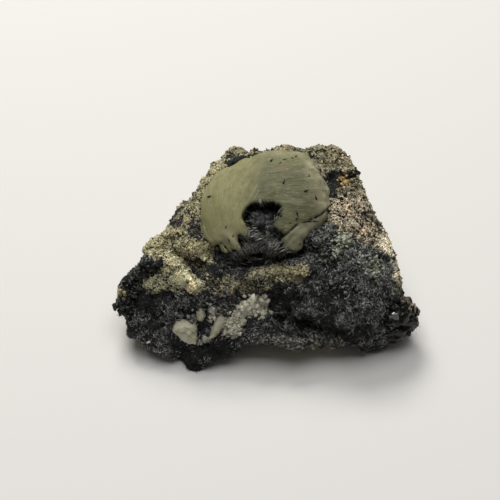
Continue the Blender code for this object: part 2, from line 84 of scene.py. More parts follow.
OUTLINE = [
    (259, 152), (253, 149.5), (249, 148), (244, 145.5), (240, 144),
    (236, 144.5), (233, 146), (230, 149), (227, 152), (225, 155), (222, 159),
    (219, 160), (215, 162), (212, 164.5), (210, 168), (209, 172), (209, 175),
    (206, 177), (203, 179), (201, 182), (199, 186), (197, 190), (195, 193),
    (193, 197), (192, 201), (190, 204), (187, 206), (185, 209), (180, 211),
    (177, 211.5), (174, 215), (172, 218), (170, 220), (169, 223), (170, 226),
    (168, 230), (165, 233), (162, 236), (156, 239), (152, 240.5), (150, 243),
    (148, 246), (147, 249), (147, 252), (145, 256), (144.5, 259), (142, 261),
    (139, 264.5), (138, 267), (135, 269), (132, 271), (128, 274), (125, 277),
    (123, 280), (121, 284), (119, 289), (118, 293), (117, 296), (115, 300),
    (114, 304), (115, 308), (118, 311.5), (120, 315.5), (123, 316),
    (125, 319), (127, 323), (129, 327), (128, 332), (130, 336.5),
    (134, 337), (140, 338.5), (142, 341), (145, 345), (148, 348), (152, 351),
    (156, 353.5), (160, 355), (165, 356.5), (170, 358), (178, 359.5),
    (182, 361), (185, 364), (187, 368), (190, 371), (195, 373), (200, 371.5),
    (203, 369), (206, 366), (209, 363), (213, 361), (220, 360), (226, 358),
    (232, 354), (238, 350), (240, 347), (241, 343), (250, 342.5), (255, 343),
    (262, 345), (268, 343.5), (275, 344), (283, 344.5), (287, 347),
    (292, 348.5), (300, 348.5), (308, 347.5), (313, 345.5), (320, 345),
    (328, 346), (335, 348), (340, 348), (345, 347), (350, 345), (357, 347),
    (362, 350), (366, 352), (370, 353), (374, 351.5), (378, 349.5),
    (383, 348), (388, 345), (390, 342.5), (394, 342.5), (397, 341),
    (399, 338), (401, 335.5), (405, 335), (408, 334.5), (410, 331),
    (413, 328), (416, 327), (417, 324), (418, 320), (418, 316), (416, 314),
    (416, 310), (415.5, 306), (413, 305), (411, 303), (410, 298.5),
    (407, 299), (403, 300), (400, 298), (399, 292), (398, 287), (398, 280),
    (397, 272), (396, 265), (395, 258), (393, 252), (391, 247), (388, 241),
    (385, 236), (382, 232), (380, 228), (377, 225), (375, 222), (375, 217),
    (374, 211), (371, 206), (368, 201), (366, 195), (363, 187), (361, 180),
    (359, 174), (356, 168), (352, 163), (350, 160.5), (347, 157), (343, 153),
    (340, 150), (337, 147), (333, 145), (329, 143.5), (325, 145), (322, 144.5),
    (319, 147), (312, 147), (305, 146.5), (300, 148), (296, 146), (292, 146),
    (287, 147), (283, 146), (277, 145), (273, 147), (270, 149.5), (266, 150),
    (262, 151),
]
PLAIN_OUTLINE = [
    (255, 150), (224, 155), (201, 184), (176, 212), (160, 236), (141, 262),
    (123, 284), (118, 304), (128, 328), (150, 347), (180, 357), (200, 366),
    (225, 355), (243, 342), (300, 345), (350, 344), (375, 350), (398, 336),
    (413, 318), (405, 300), (397, 270), (390, 245), (374, 216), (362, 186),
    (350, 162), (335, 149), (300, 149),
]
HEIGHTS = [
    (259, 152, 31), (240, 144, 30), (225, 155, 29.5), (212, 164, 29),
    (203, 179, 28.5), (193, 197, 27.5), (184, 210, 26.5), (170, 220, 25),
    (165, 233, 24), (147, 249, 22), (139, 264, 20), (125, 277, 16),
    (117, 296, 12), (114, 304, 11), (118, 312, 10), (127, 323, 8),
    (130, 336, 6.5), (142, 341, 6), (156, 353, 4), (170, 358, 3),
    (182, 361, 2), (187, 368, 1), (195, 373, 0), (203, 369, 1),
    (213, 361, 3), (226, 358, 4), (238, 350, 6), (241, 343, 8),
    (262, 345, 8), (283, 344, 8), (300, 348, 7.5), (320, 345, 7.5),
    (340, 348, 6), (353, 344, 6), (366, 352, 2.5), (374, 351, 1),
    (388, 345, 2), (397, 341, 4), (408, 334, 6), (418, 320, 8),
    (416, 310, 10), (411, 300, 13), (400, 298, 14), (397, 272, 18),
    (393, 252, 20), (385, 236, 22), (375, 222, 25), (371, 206, 26.5),
    (363, 187, 28), (356, 168, 30), (347, 157, 31), (337, 147, 32),
    (325, 145, 32), (305, 146, 32), (283, 146, 31.5), (268, 150, 31.5),
    (240, 155, 30.5), (215, 175, 29), (160, 245, 23.5), (175, 235, 25),
    (190, 228, 26.5), (195, 213, 27), (190, 248, 24.5), (205, 255, 23),
    (182, 262, 21.5), (200, 276, 20), (190, 276, 20.5), (172, 262, 21.5),
    (160, 275, 19), (150, 285, 16.5), (135, 285, 15.5), (175, 290, 17),
    (200, 292, 18.5),
    (225, 180, 27.5), (265, 175, 28.5), (300, 175, 29), (225, 220, 25.5),
    (265, 220, 24), (300, 220, 26), (225, 255, 22.5), (245, 264, 20.5),
    (265, 258, 21), (295, 254, 22.5), (225, 276, 19.5), (240, 284, 19),
    (262, 268, 20.8), (285, 270, 21), (300, 268, 21.3), (270, 285, 19),
    (255, 297, 16.5), (225, 296, 17), (230, 305, 14.5), (250, 308, 13),
    (266, 304, 13.5), (245, 325, 9.8), (225, 328, 9.5),
    (150, 300, 13.5), (130, 300, 12.5), (150, 320, 9.5), (165, 340, 6.5),
    (178, 308, 13), (186, 330, 8.6), (200, 340, 7.6), (200, 355, 4.5),
    (182, 350, 4.5), (212, 346, 6.5), (205, 318, 11.5),
    (290, 300, 15), (280, 312, 12), (300, 322, 11), (322, 329, 10.3),
    (345, 336, 8.8), (260, 326, 9.5), (285, 338, 8.6), (315, 339, 8.2),
    (320, 246, 25), (350, 250, 25), (340, 225, 27.5), (360, 215, 27.3),
    (345, 200, 28.6), (350, 180, 29.6), (335, 165, 30.8), (312, 152, 31.8),
    (370, 235, 25), (385, 255, 21.5), (370, 265, 22), (345, 270, 22.5),
    (320, 270, 22.5), (310, 285, 20.3), (330, 290, 19.6), (350, 300, 17.8),
    (375, 290, 18.6), (390, 290, 16.8), (390, 312, 12.8), (405, 318, 10.8),
    (373, 315, 14.5), (355, 322, 13.6), (370, 335, 9.8), (385, 335, 7.2),
    (370, 345, 5),
]
FOLDS = [
    ([(174, 253), (186, 262), (202, 270)], 6, -1.2),
    ([(150, 255), (165, 261), (180, 273), (197, 287)], 7, 1.0),
    ([(212, 252), (232, 265), (262, 264), (290, 256), (314, 251)], 6, -3.0),
    ([(243, 276), (262, 268), (285, 270), (305, 272)], 8, 1.8),
    ([(288, 293), (297, 309), (312, 314), (339, 323), (362, 341)], 5, 1.5),
    ([(262, 306), (282, 318), (310, 327), (338, 336)], 8, -1.6),
    ([(256, 338), (285, 343), (310, 341), (347, 342)], 6, 1.2),
    ([(119, 294), (128, 278), (145, 264), (160, 263)], 8, 1.0),
    ([(228, 160), (240, 158), (252, 154)], 6, -1.4),
    ([(322, 178), (338, 180), (352, 177)], 6, -0.9),
    ([(330, 182), (332, 195)], 5, -0.7),
]
FACES = [
    ((0.03, 0.97, 0.22), 27.5),
    ((0.80, 0.52, 0.22), 35.9),
    ((-0.72, 0.63, 0.28), 26.3),
    ((0.30, 0.86, -0.35), 23.5),
    ((-0.35, 0.80, -0.40), 19.5),
    ((0.05, 0.72, -0.69), 15.4),
    ((-0.76, 0.15, -0.63), 17.8),
    ((0.78, 0.18, -0.60), 25.6),
    ((0.55, 0.60, -0.58), 26.5),
]
LOBES = [
    ((266, 211), (67.5, 64), 5.8, 7.0),
    ((238, 213), (42, 48), 6.2, 7.5),
    ((290, 200), (44, 47), 6.2, 7.3),
]
BALL_TILT = 0.06
BALL_SEAT = 4.5
BALL_OUTLINE = [
    (199, 214), (199.5, 206), (200.5, 200), (203, 196), (205, 192),
    (207, 187), (211, 180), (215, 174), (222, 170), (230, 166), (240, 162),
    (250, 158), (255, 154), (262, 151), (270, 150), (285, 149), (300, 150),
    (306, 152), (310, 157), (314, 163), (318, 170), (322, 176), (326, 181),
    (329, 187), (331, 193), (330, 198), (329, 201), (331, 205), (329, 210),
    (330, 216), (330, 221), (325, 227), (318, 230), (312, 234), (306, 237),
    (302, 240), (302, 245), (300, 248), (295, 250), (288, 249.5),
    (281, 248), (272, 251), (262, 252), (252, 251), (245, 251.5),
    (236, 250), (230, 251), (226, 250), (222, 246), (220, 243), (217, 241),
    (213, 245), (208, 244), (204, 240), (202, 235), (200, 230), (199, 222),
]
POCKET_OUTLINE = [
    (244, 214), (247, 209), (251, 205), (255, 203.5), (262, 202), (268, 202.5),
    (272, 201.5), (278, 204.5), (281, 208), (280, 214), (277, 218),
    (274.5, 222), (273, 227), (280, 230), (283, 234), (282, 240),
    (283, 246), (281, 254), (265, 256), (250, 254), (246.5, 251), (247, 249), (243.5, 245.5),
    (240.5, 241), (239, 235), (241, 234), (244, 237), (247, 238), (249, 236),
    (249.5, 230), (247, 226), (244, 222), (243, 217),
]

SPILL_OUTLINE = [
    (246, 222), (262, 218), (276, 222), (285, 232), (292, 244), (290, 254),
    (280, 259), (268, 261), (248, 264), (232, 263), (225, 258), (232, 252),
    (242, 249), (240, 238),
]


# ------------------------------------------------------------- survey algebra
def lift(a, b, height):
    q = ORIGIN + (a - CENTRE) * UNIT * RIGHT + (CENTRE - b) * UNIT * UP
    eye = ORIGIN + DISTANCE * TOWARD
    s = (eye[2] - height) / (eye[2] - q[2])
    return eye + s * (q - eye)


def at_depth(a, b, w):
    """Points in mm for arrays of a, b and depth w."""
    a, b, w = np.broadcast_arrays(*(np.asarray(x, float) for x in (a, b, w)))
    k = 1.0 - w / DISTANCE
    return (ORIGIN + ((a - CENTRE) * UNIT * k)[..., None] * RIGHT
            + ((CENTRE - b) * UNIT * k)[..., None] * UP + w[..., None] * TOWARD)


def survey(points):
    rel = points - ORIGIN
    w = rel @ TOWARD
    k = DISTANCE / (DISTANCE - w)
    return (CENTRE + rel[..., 0] * k / UNIT,
            CENTRE - (rel @ UP) * k / UNIT, w)


def smooth_min(x, y, k):
    h = np.maximum(k - np.abs(x - y), 0.0) / k
    return np.minimum(x, y) - h * h * k * 0.25


def smooth_max(x, y, k):
    return -smooth_min(-x, -y, k)


def smoothstep(lo, hi, x):
    t = np.clip((x - lo) / (hi - lo), 0.0, 1.0)
    return t * t * (3.0 - 2.0 * t)


def inside_polygon(a, b, loop):
    best = np.full(a.shape, 1e9)
    inside = np.zeros(a.shape, bool)
    for (x0, y0), (x1, y1) in zip(loop, loop[1:] + loop[:1]):
        dx, dy = x1 - x0, y1 - y0
        t = np.clip(((a - x0) * dx + (b - y0) * dy) / (dx * dx + dy * dy), 0, 1)
        best = np.minimum(best, (a - x0 - t * dx) ** 2 + (b - y0 - t * dy) ** 2)
        if y0 != y1:
            crosses = (b < y0) != (b < y1)
            inside ^= crosses & (a < x0 + (b - y0) * dx / dy)
    return np.where(inside, 1.0, -1.0) * np.sqrt(best)


def path_distance(a, b, path):
    best = np.full(a.shape, 1e9)
    for (x0, y0), (x1, y1) in zip(path, path[1:]):
        dx, dy = x1 - x0, y1 - y0
        t = np.clip(((a - x0) * dx + (b - y0) * dy) / (dx * dx + dy * dy), 0, 1)
        best = np.minimum(best, (a - x0 - t * dx) ** 2 + (b - y0 - t * dy) ** 2)
    return np.sqrt(best)


class Plate:
    def __init__(self, points, stiffness=0.02):
        self.p = np.array([(a / 100.0, b / 100.0) for a, b, _ in points])
        v = np.array([v for _, _, v in points])
        n = len(v)
        m = np.zeros((n + 3, n + 3))
        m[:n, :n] = self.kernel(self.p[:, None, :] - self.p[None, :, :])
        m[:n, :n] += stiffness * np.eye(n)
        m[:n, n] = m[n, :n] = 1.0
        m[:n, n + 1:] = self.p
        m[n + 1:, :n] = self.p.T
        self.c = np.linalg.solve(m, np.append(v, (0.0, 0.0, 0.0)))

    @staticmethod
    def kernel(d):
        r = (d ** 2).sum(-1)
        return 0.5 * r * np.log(np.maximum(r, 1e-12))

    def __call__(self, a, b):
        q = np.stack((a / 100.0, b / 100.0), -1)
        out = self.c[-3] + q @ self.c[-2:]
        for i, p in enumerate(self.p):
            out = out + self.c[i] * self.kernel(q - p)
        return out


class Lumps:
    """Smooth seeded noise in space, about -1 to 1, at one lump size in mm."""

    def __init__(self, seed, size, n=24):
        self.size = size
        self.n = n
        self.v = np.random.RandomState(seed).uniform(-1, 1, (n,) * 3)

    def __call__(self, p):
        q = p / self.size + 100.0
        i = np.floor(q).astype(np.int32)
        f = q - i
        f = f * f * (3.0 - 2.0 * f)
        n = self.n
        ix, iy, iz = (i[..., k] % n for k in range(3))
        jx, jy, jz = (ix + 1) % n, (iy + 1) % n, (iz + 1) % n
        fx, fy, fz = f[..., 0], f[..., 1], f[..., 2]
        v = self.v
        c00 = v[ix, iy, iz] * (1 - fx) + v[jx, iy, iz] * fx
        c10 = v[ix, jy, iz] * (1 - fx) + v[jx, jy, iz] * fx
        c01 = v[ix, iy, jz] * (1 - fx) + v[jx, iy, jz] * fx
        c11 = v[ix, jy, jz] * (1 - fx) + v[jx, jy, jz] * fx
        return ((c00 * (1 - fy) + c10 * fy) * (1 - fz)
                + (c01 * (1 - fy) + c11 * fy) * fz)


class Cells:
    """Jittered cells in space: nearest and second distances (in cell sizes),
    and a random number for each cell."""

    def __init__(self, seed, size, n=32):
        r = np.random.RandomState(seed)
        self.size, self.n = size, n
        self.off = r.uniform(0.1, 0.9, (n, n, n, 3))
        self.val = r.uniform(0, 1, (n, n, n))

    def __call__(self, p):
        q = p / self.size + 200.0
        i = np.floor(q).astype(np.int32)
        f = q - i
        d1 = np.full(q.shape[:-1], 9.0)
        d2 = np.full(q.shape[:-1], 9.0)
        val = np.zeros(q.shape[:-1])
        n = self.n
        for x in (-1, 0, 1):
            for y in (-1, 0, 1):
                for z in (-1, 0, 1):
                    ix, iy, iz = ((i[..., 0] + x) % n, (i[..., 1] + y) % n,
                                  (i[..., 2] + z) % n)
                    o = self.off[ix, iy, iz]
                    d = ((o[..., 0] + x - f[..., 0]) ** 2
                         + (o[..., 1] + y - f[..., 1]) ** 2
                         + (o[..., 2] + z - f[..., 2]) ** 2)
                    near = d < d1
                    d2 = np.where(near, d1, np.minimum(d2, d))
                    val = np.where(near, self.val[ix, iy, iz], val)
                    d1 = np.where(near, d, d1)
        return np.sqrt(d1), np.sqrt(d2), val


def depth_of(a, b, h):
    return float((lift(a, b, h) - ORIGIN) @ TOWARD)


# Maps over the survey plane, one value a unit, read with linear steps.
A_LO, A_HI, B_LO, B_HI = 80, 450, 110, 410
MAP_A, MAP_B = np.meshgrid(np.arange(A_LO, A_HI + 1.0),
                           np.arange(B_LO, B_HI + 1.0), indexing="ij")


def read_map(m, a, b):
    x = np.clip(a - A_LO, 0, A_HI - A_LO - 1e-6)
    y = np.clip(b - B_LO, 0, B_HI - B_LO - 1e-6)
    i, j = x.astype(np.int32), y.astype(np.int32)
    fx, fy = x - i, y - j
    return ((m[i, j] * (1 - fx) + m[i + 1, j] * fx) * (1 - fy)
            + (m[i, j + 1] * (1 - fx) + m[i + 1, j + 1] * fx) * fy)


BIG, MID = Lumps(11, 9.0), Lumps(12, 4.5)
CLOD = Cells(44, 3.7)
FINE = [Lumps(21, 2.4), Lumps(22, 1.2), Lumps(23, 0.75)]


def make_relief():
    plate = Plate([(a, b, depth_of(a, b, h)) for a, b, h in HEIGHTS])
    w = plate(MAP_A, MAP_B)
    for path, width, height in FOLDS:
        w = w + height * np.exp(-(path_distance(MAP_A, MAP_B, path) / width) ** 2)
    return w


RELIEF = make_relief()
RIM = inside_polygon(MAP_A, MAP_B, OUTLINE)
PLAIN_RIM = inside_polygon(MAP_A, MAP_B, PLAIN_OUTLINE)
BALL_RIM = inside_polygon(MAP_A, MAP_B, BALL_OUTLINE)
POCKET_RIM = inside_polygon(MAP_A, MAP_B, POCKET_OUTLINE)
SPILL_RIM = inside_polygon(MAP_A, MAP_B, SPILL_OUTLINE)
stamp("maps")


def ball_dome(a, b):
    """Depth of the ball's outer surface on each survey line."""
    top = np.full(a.shape, -9.0)
    for (ca, cb), (ra, rb), wc, thick in LOBES:
        r = ((a - ca) / ra) ** 2 + ((b - cb) / rb) ** 2
        top = smooth_max(top, wc + thick * np.sqrt(np.maximum(0.0, 1.0 - r))
                         - 4.0 * np.maximum(0.0, r - 1.0), 2.5)
    return top + BALL_TILT * (b - 213)


# --------------------------------------------------------------- rock surface
# Regions of the rock's front, painted one over the other: outline in survey
# units, softness, share of dark grains, light grain colour, felt, crust and
# share of pale needles, whose paleness is painted sheen off needle faces.
FELT_TONE = (0.070, 0.070, 0.068)
REGIONS = [
    # upper left bank, as far as under the ball
    ([(144, 230), (156, 204), (178, 184), (194, 156), (218, 130), (262, 130),
      (272, 136), (272, 166), (238, 186), (216, 204), (213, 236), (218, 248),
      (215, 258), (202, 267), (180, 264), (165, 262), (150, 259), (136, 258),
      (132, 250)], 4, 0.16, (0.29, 0.27, 0.165), 0.0, 0.0, 0.1),
    ([(180, 255), (196, 254), (207, 262), (203, 270), (188, 266)],
     3, 0.55, (0.16, 0.135, 0.085), 0.0, 0.0, 0.1),
    # darker grains along the left rim
    ([(146, 226), (158, 200), (180, 180), (196, 154), (208, 158), (200, 182),
      (208, 204), (196, 216), (176, 212), (160, 232)], 3, 0.40,
     (0.265, 0.25, 0.145), 0.0, 0.0, 0.1),
    # yellow ridge and olive slope below it
    ([(148, 254), (165, 256), (182, 264), (197, 276), (208, 292), (198, 296),
      (176, 293), (150, 294), (136, 289), (134, 276), (148, 268)],
     4, 0.22, (0.39, 0.37, 0.245), 0.05, 0.0, 0.15),
    ([(150, 253), (166, 257), (181, 265), (197, 274), (205, 287), (194, 291),
      (180, 284), (166, 271), (150, 261)],
     3, 0.03, (0.47, 0.44, 0.285), 0.0, 0.0, 0.1),
    # olive ground and tan shelf below the ball
    ([(204, 270), (222, 275), (243, 273), (262, 262), (285, 261), (304, 262),
      (311, 272), (304, 283), (285, 287), (262, 293), (240, 297), (214, 296),
      (203, 286)], 4, 0.36, (0.215, 0.20, 0.135), 0.15, 0.0, 0.15),
    ([(262, 261), (285, 260), (303, 262), (308, 274), (301, 281), (284, 280),
      (268, 273)], 4, 0.28, (0.215, 0.195, 0.118), 0.0, 0.0, 0.1),
    # upper right rim, the tan grains below it and the right edge
    ([(262, 136), (300, 134), (345, 134), (366, 165), (374, 195), (385, 218),
      (399, 240), (408, 262), (408, 292), (393, 297), (389, 272), (381, 256),
      (364, 249), (346, 247), (332, 234), (320, 214), (308, 184),
      (290, 166), (262, 160)], 4, 0.28, (0.215, 0.198, 0.132), 0.0, 0.0, 0.1),
    ([(331, 196), (350, 190), (367, 196), (377, 216), (387, 236), (382, 246),
      (362, 245), (340, 238), (331, 222)], 4, 0.36, (0.34, 0.29, 0.21),
     0.0, 0.0, 0.1),
    ([(378, 240), (390, 240), (398, 258), (400, 280), (394, 284), (388, 262)],
     3, 0.10, (0.56, 0.52, 0.40), 0.0, 0.0, 0.1),
    # grey felt below and right of the ball, and the speckled slope
    ([(296, 246), (318, 230), (334, 226), (340, 250), (330, 266), (306, 264)],
     4, 0.66, (0.11, 0.115, 0.10), 0.8, 0.0, 0.26),
    ([(336, 248), (366, 248), (388, 258), (396, 292), (372, 300), (340, 300),
      (318, 280), (312, 262)], 6, 0.7, (0.11, 0.11, 0.10), 0.85, 0.0, 0.36),
    ([(300, 286), (350, 296), (392, 300), (388, 326), (366, 342), (340, 322),
      (312, 312), (292, 300)], 6, 0.66, (0.125, 0.125, 0.12), 1.0, 0.0, 0.38),
    # grey crystals left below the ball, and the dark creases, whose tone is raised as
    # painted light against the shade in them
    ([(216, 251), (232, 249), (236, 262), (224, 268), (212, 262)], 3, 0.5,
     (0.13, 0.135, 0.13), 0.3, 0.0, 0.3),
    ([(232, 262), (262, 258), (310, 250), (312, 260), (266, 264), (236, 274),
      (218, 270)], 3, 0.58, (0.17, 0.17, 0.18), 1.0, 0.0, 0.34),
    ([(172, 293), (206, 297), (240, 297), (236, 307), (205, 305), (190, 312),
      (172, 304)], 3, 0.72, (0.11, 0.11, 0.10), 0.9, 0.0, 0.32),
    # pale speckled patch
    ([(205, 302), (226, 304), (226, 322), (206, 318)], 3, 0.55,
     (0.34, 0.335, 0.28), 0.3, 0.0, 0.3),
    ([(222, 312), (238, 304), (256, 299), (270, 299), (270, 310), (258, 318),
      (246, 328), (232, 338), (222, 336), (218, 324)], 3, 0.30,
     (0.37, 0.36, 0.28), 0.0, 0.0, 0.2),
    ([(240, 300), (258, 298), (270, 299), (269, 309), (256, 316), (243, 318)],
     3, 0.45, (0.44, 0.42, 0.32), 0.0, 0.0, 0.2),
    # the hollow, the left needle face and the foot
    ([(270, 300), (290, 303), (310, 314), (336, 324), (330, 332), (300, 330),
      (270, 330), (244, 334), (246, 322)], 4, 0.80, (0.085, 0.088, 0.105),
     1.0, 0.0, 0.22),
    ([(128, 298), (186, 296), (176, 318), (168, 340), (190, 352), (186, 366),
      (150, 354), (128, 332)], 5, 0.58, (0.10, 0.10, 0.103), 1.0, 0.0, 0.28),
    ([(176, 344), (212, 344), (240, 334), (244, 350), (210, 366), (195, 378),
      (182, 366)], 4, 0.97, (0.022, 0.022, 0.022), 1.0, 0.0, 0.04),
    # lower lip
    ([(252, 334), (276, 333), (318, 335), (348, 338), (350, 349), (318, 350),
      (285, 350), (252, 347)], 4, 0.46, (0.185, 0.18, 0.15), 0.45, 0.0, 0.28),
    # black crusts and pockets
    ([(134, 258), (162, 257), (164, 266), (150, 273), (138, 280), (134, 296),
      (130, 316), (138, 334), (128, 338), (118, 316), (108, 306), (110, 292),
      (118, 278)], 3, 0.93, (0.20, 0.20, 0.17), 0.0, 1.0, 0.1),
    ([(116, 294), (124, 288), (127, 291), (122, 297), (116, 300)], 1.5, 0.3,
     (0.36, 0.31, 0.16), 0.0, 0.3, 0.1),
    ([(386, 304), (398, 296), (412, 296), (422, 312), (420, 330), (404, 340),
      (390, 346), (382, 334), (384, 318)], 3, 0.94, (0.22, 0.19, 0.15),
     0.0, 1.0, 0.1),
    ([(404, 304), (415, 304), (415, 312), (406, 312)], 1.5, 0.3,
     (0.34, 0.26, 0.17), 0.0, 0.3, 0.1),
    ([(228, 157), (240, 154), (251, 154), (251, 160), (240, 167), (228, 168)],
     2, 0.95, (0.06, 0.06, 0.055), 0.2, 0.6, 0.1),
    ([(322, 174), (338, 172), (354, 173), (354, 182), (341, 184), (339, 197),
      (328, 197), (327, 184)], 2, 0.90, (0.07, 0.07, 0.06), 0.1, 0.5, 0.1),
    ([(340, 177), (350, 177), (351, 187), (341, 188)], 2, 0.22,
     (0.38, 0.28, 0.13), 0.0, 0.0, 0.1),
    ([(169, 217), (180, 218), (181, 226), (170, 227)], 2, 0.88,
     (0.07, 0.07, 0.06), 0.0, 0.5, 0.1),
    ([(190, 216), (200, 216), (201, 238), (192, 240)], 2, 0.74,
     (0.13, 0.125, 0.10), 0.0, 0.3, 0.1),
    # the two prehnite stains right of the ball
    ([(338, 234), (352, 233), (353, 247), (342, 249), (341, 256), (332, 256),
      (332, 247), (338, 245)], 2, 0.16, (0.31, 0.325, 0.25), 0.0, 0.0, 0.1),
    ([(366, 262), (382, 262), (382, 271), (367, 271)], 2, 0.30,
     (0.36, 0.37, 0.29), 0.0, 0.0, 0.1),
]
REGION_MAPS = [inside_polygon(MAP_A, MAP_B, r[0]) for r in REGIONS]


def paint_rock(p):
    """Grain shares and colours at points on or near the rock."""
    a, b, w = survey(p)
    f0, f1 = FINE[0](p), FINE[1](p)
    g0, g1 = FINE[0](p + 37.0), FINE[1](p + 37.0)
    a2, b2 = a + 4.0 * f0 + 3.0 * f1, b + 4.0 * g0 + 3.0 * g1
    dark = np.full(a.shape, 0.90)
    felt = np.full(a.shape, 1.0)
    crust = np.zeros(a.shape)
    painted_sheen = np.full(a.shape, 0.16)
    tone = np.empty(a.shape + (3,))
    tone[:] = FELT_TONE
    for m, (loop, soft, d, col, fe, cr, sheen_part) in zip(REGION_MAPS, REGIONS):
        t = smoothstep(-soft, soft, read_map(m, a2, b2))
        dark = dark * (1 - t) + d * t
        felt = felt * (1 - t) + fe * t
        crust = crust * (1 - t) + cr * t
        painted_sheen = painted_sheen * (1 - t) + sheen_part * t
        tone = tone * (1 - t)[..., None] + np.array(col) * t[..., None]
    # the sides and the back: grey-green broken rock with darker bands
    behind = read_map(RELIEF, a, b) - w
    back = smoothstep(1.5, 4.5, behind)
    band = smoothstep(-0.15, 0.35, BIG(p + 11.0) + 0.35 * MID(p + 5.0))
    d_back = 0.30 + 0.34 * band
    col_back = (np.array((0.25, 0.23, 0.145)) * (1 - band)[..., None]
                + np.array((0.13, 0.125, 0.095)) * band[..., None])
    dark = dark * (1 - back) + d_back * back
    felt = felt * (1 - back)
    crust = crust * (1 - back)
    tone = tone * (1 - back)[..., None] + col_back * back[..., None]
    dark = dark + 0.10 * f0 + 0.05 * MID(p)
    # clods: each with its own tone, dark grains gathered between them
    c1, c2, cv = clods = CLOD(p + 0.9 * np.stack((f0, g0, f1), -1))
    light = (1.0 - felt) * (1.0 - crust)
    gap = smoothstep(0.14, 0.02, c2 - c1)
    dark = dark + light * (0.30 * gap - 0.05) + light * 0.16 * (cv < 0.12)
    tone = tone * (1.0 + light * (0.36 * (cv - 0.5) - 0.25 * gap))[..., None]
    warm = (light * smoothstep(0.72, 0.9, cv))[..., None]
    tone = tone * (1.0 - warm * np.array((0.0, 0.06, 0.10)))
    return (np.clip(dark, 0.02, 0.98), tone * GAIN, np.clip(felt, 0, 1),
            np.clip(crust, 0, 1), back, np.clip(painted_sheen + 0.10 * g0, 0.0, 1.0),
            clods)


def rock_coarse(p):
    a, b, w = survey(p)
    top = read_map(RELIEF, a, b)
    ball = read_map(BALL_RIM, a, b)
    dome = ball_dome(a, b)
    edge = smoothstep(9.0, 0.0, np.abs(ball + 3.0)) * (b < 236)
    top = top * (1 - 0.8 * edge) + np.maximum(top, dome - 0.5) * 0.8 * edge
    top = np.where(ball > 1.5, np.minimum(top, dome - 1.0), top)
    pocket = read_map(POCKET_RIM, a, b)
    heap = (9.0 + 2.1 * smoothstep(214, 240, b) - 0.30 * np.maximum(b - 246, 0)
            + 0.9 * FINE[0](p + 3.0))
    top = np.where(pocket > -2, np.minimum(top, heap), top)
    spill = read_map(SPILL_RIM, a, b)
    top = np.where(spill > -6, np.maximum(top, heap + 0.45 * np.minimum(
        spill - 2.0, 0.0)), top)
    behind = np.maximum(top - w, 0.0)
    t = smoothstep(1.0, 7.0, behind)
    rim = UNIT * ((1.0 - t) * read_map(RIM, a, b)
                  + t * read_map(PLAIN_RIM, a, b))
    back = smooth_max(behind - 3.0, 0.0 * behind, 2.0)
    lumps, bumps = BIG(p), MID(p)
    hidden = np.clip(back / 6.0, 0.0, 1.0)
    f = smooth_min(top - w + 0.25 * bumps,
                   rim - 0.16 * back + hidden * (0.9 * lumps + 0.5 * bumps),
                   1.0)
    for n, d in FACES:
        n = np.array(n) / np.linalg.norm(n)
        f = smooth_min(f, d - p @ n + 0.8 * lumps + 0.45 * bumps, 1.6)
    floor = p[..., 2] - 0.05 + 1.3 * lumps + 0.5 * bumps
    return smooth_min(f, floor, 1.2)


def voxel_mesh(name, lo, hi, size, coarse, fine=None, reach=1.8, block=1.4):
    """Mesh of the zero surface of a field, positive inside, with fine relief
    added near the surface only."""
    n = [int(math.ceil((hi[k] - lo[k]) / size)) + 1 for k in range(3)]
    axes = [lo[k] + size * np.arange(n[k]) for k in range(3)]
    step = 4
    cax = [ax[::step] for ax in axes]
    cax = [np.append(c, c[-1] + step * size) for c in cax]
    g = np.stack(np.meshgrid(*cax, indexing="ij"), -1)
    cf = coarse(g.reshape(-1, 3)).reshape(g.shape[:3])
    # spread the coarse values to the fine grid, then redo those near zero
    f = cf
    for axis in range(3):
        m = n[axis]
        x = np.arange(m) / step
        i = np.floor(x).astype(int)
        t = (x - i).reshape([-1 if k == axis else 1 for k in range(3)])
        f = np.take(f, i, axis) * (1 - t) + np.take(f, i + 1, axis) * t
    near = np.abs(f) < reach
    idx = np.nonzero(near)
    p = np.stack([axes[k][idx[k]] for k in range(3)], -1)
    v = coarse(p)
    if fine is not None:
        v = v + fine(p)
    f[idx] = v
    f = np.clip(f, -3.0, 3.0)
    f[0], f[-1] = -3, -3
    f[:, 0], f[:, -1] = -3, -3
    f[:, :, 0], f[:, :, -1] = -3, -3
    grid = openvdb.FloatGrid(3.0)
    grid.copyFromArray((-f).astype(np.float32))
    pts, quads = grid.convertToQuads(0.0)
    pts = np.asarray(pts, float) * size + np.array(lo)
    quads = np.asarray(quads, np.int64)
    stamp(f"{name}: {len(p)} points near, {len(quads)} quads")
    return keep_largest(pts, quads)


def keep_largest(pts, faces):
    lab = np.arange(len(pts))
    while True:
        m = lab[faces].min(1)
        new = lab.copy()
        for k in range(faces.shape[1]):
            np.minimum.at(new, faces[:, k], m)
        new = new[new]
        if (new == lab).all():
            break
        lab = new
    ids, counts = np.unique(lab[faces[:, 0]], return_counts=True)
    main = ids[counts.argmax()]
    keep = lab[faces[:, 0]] == main
    faces = faces[keep]
    used = np.zeros(len(pts), bool)
    used[faces.ravel()] = True
    remap = np.cumsum(used) - 1
    return pts[used], remap[faces]


def to_world(p):
    return (p + SHIFT) * MM


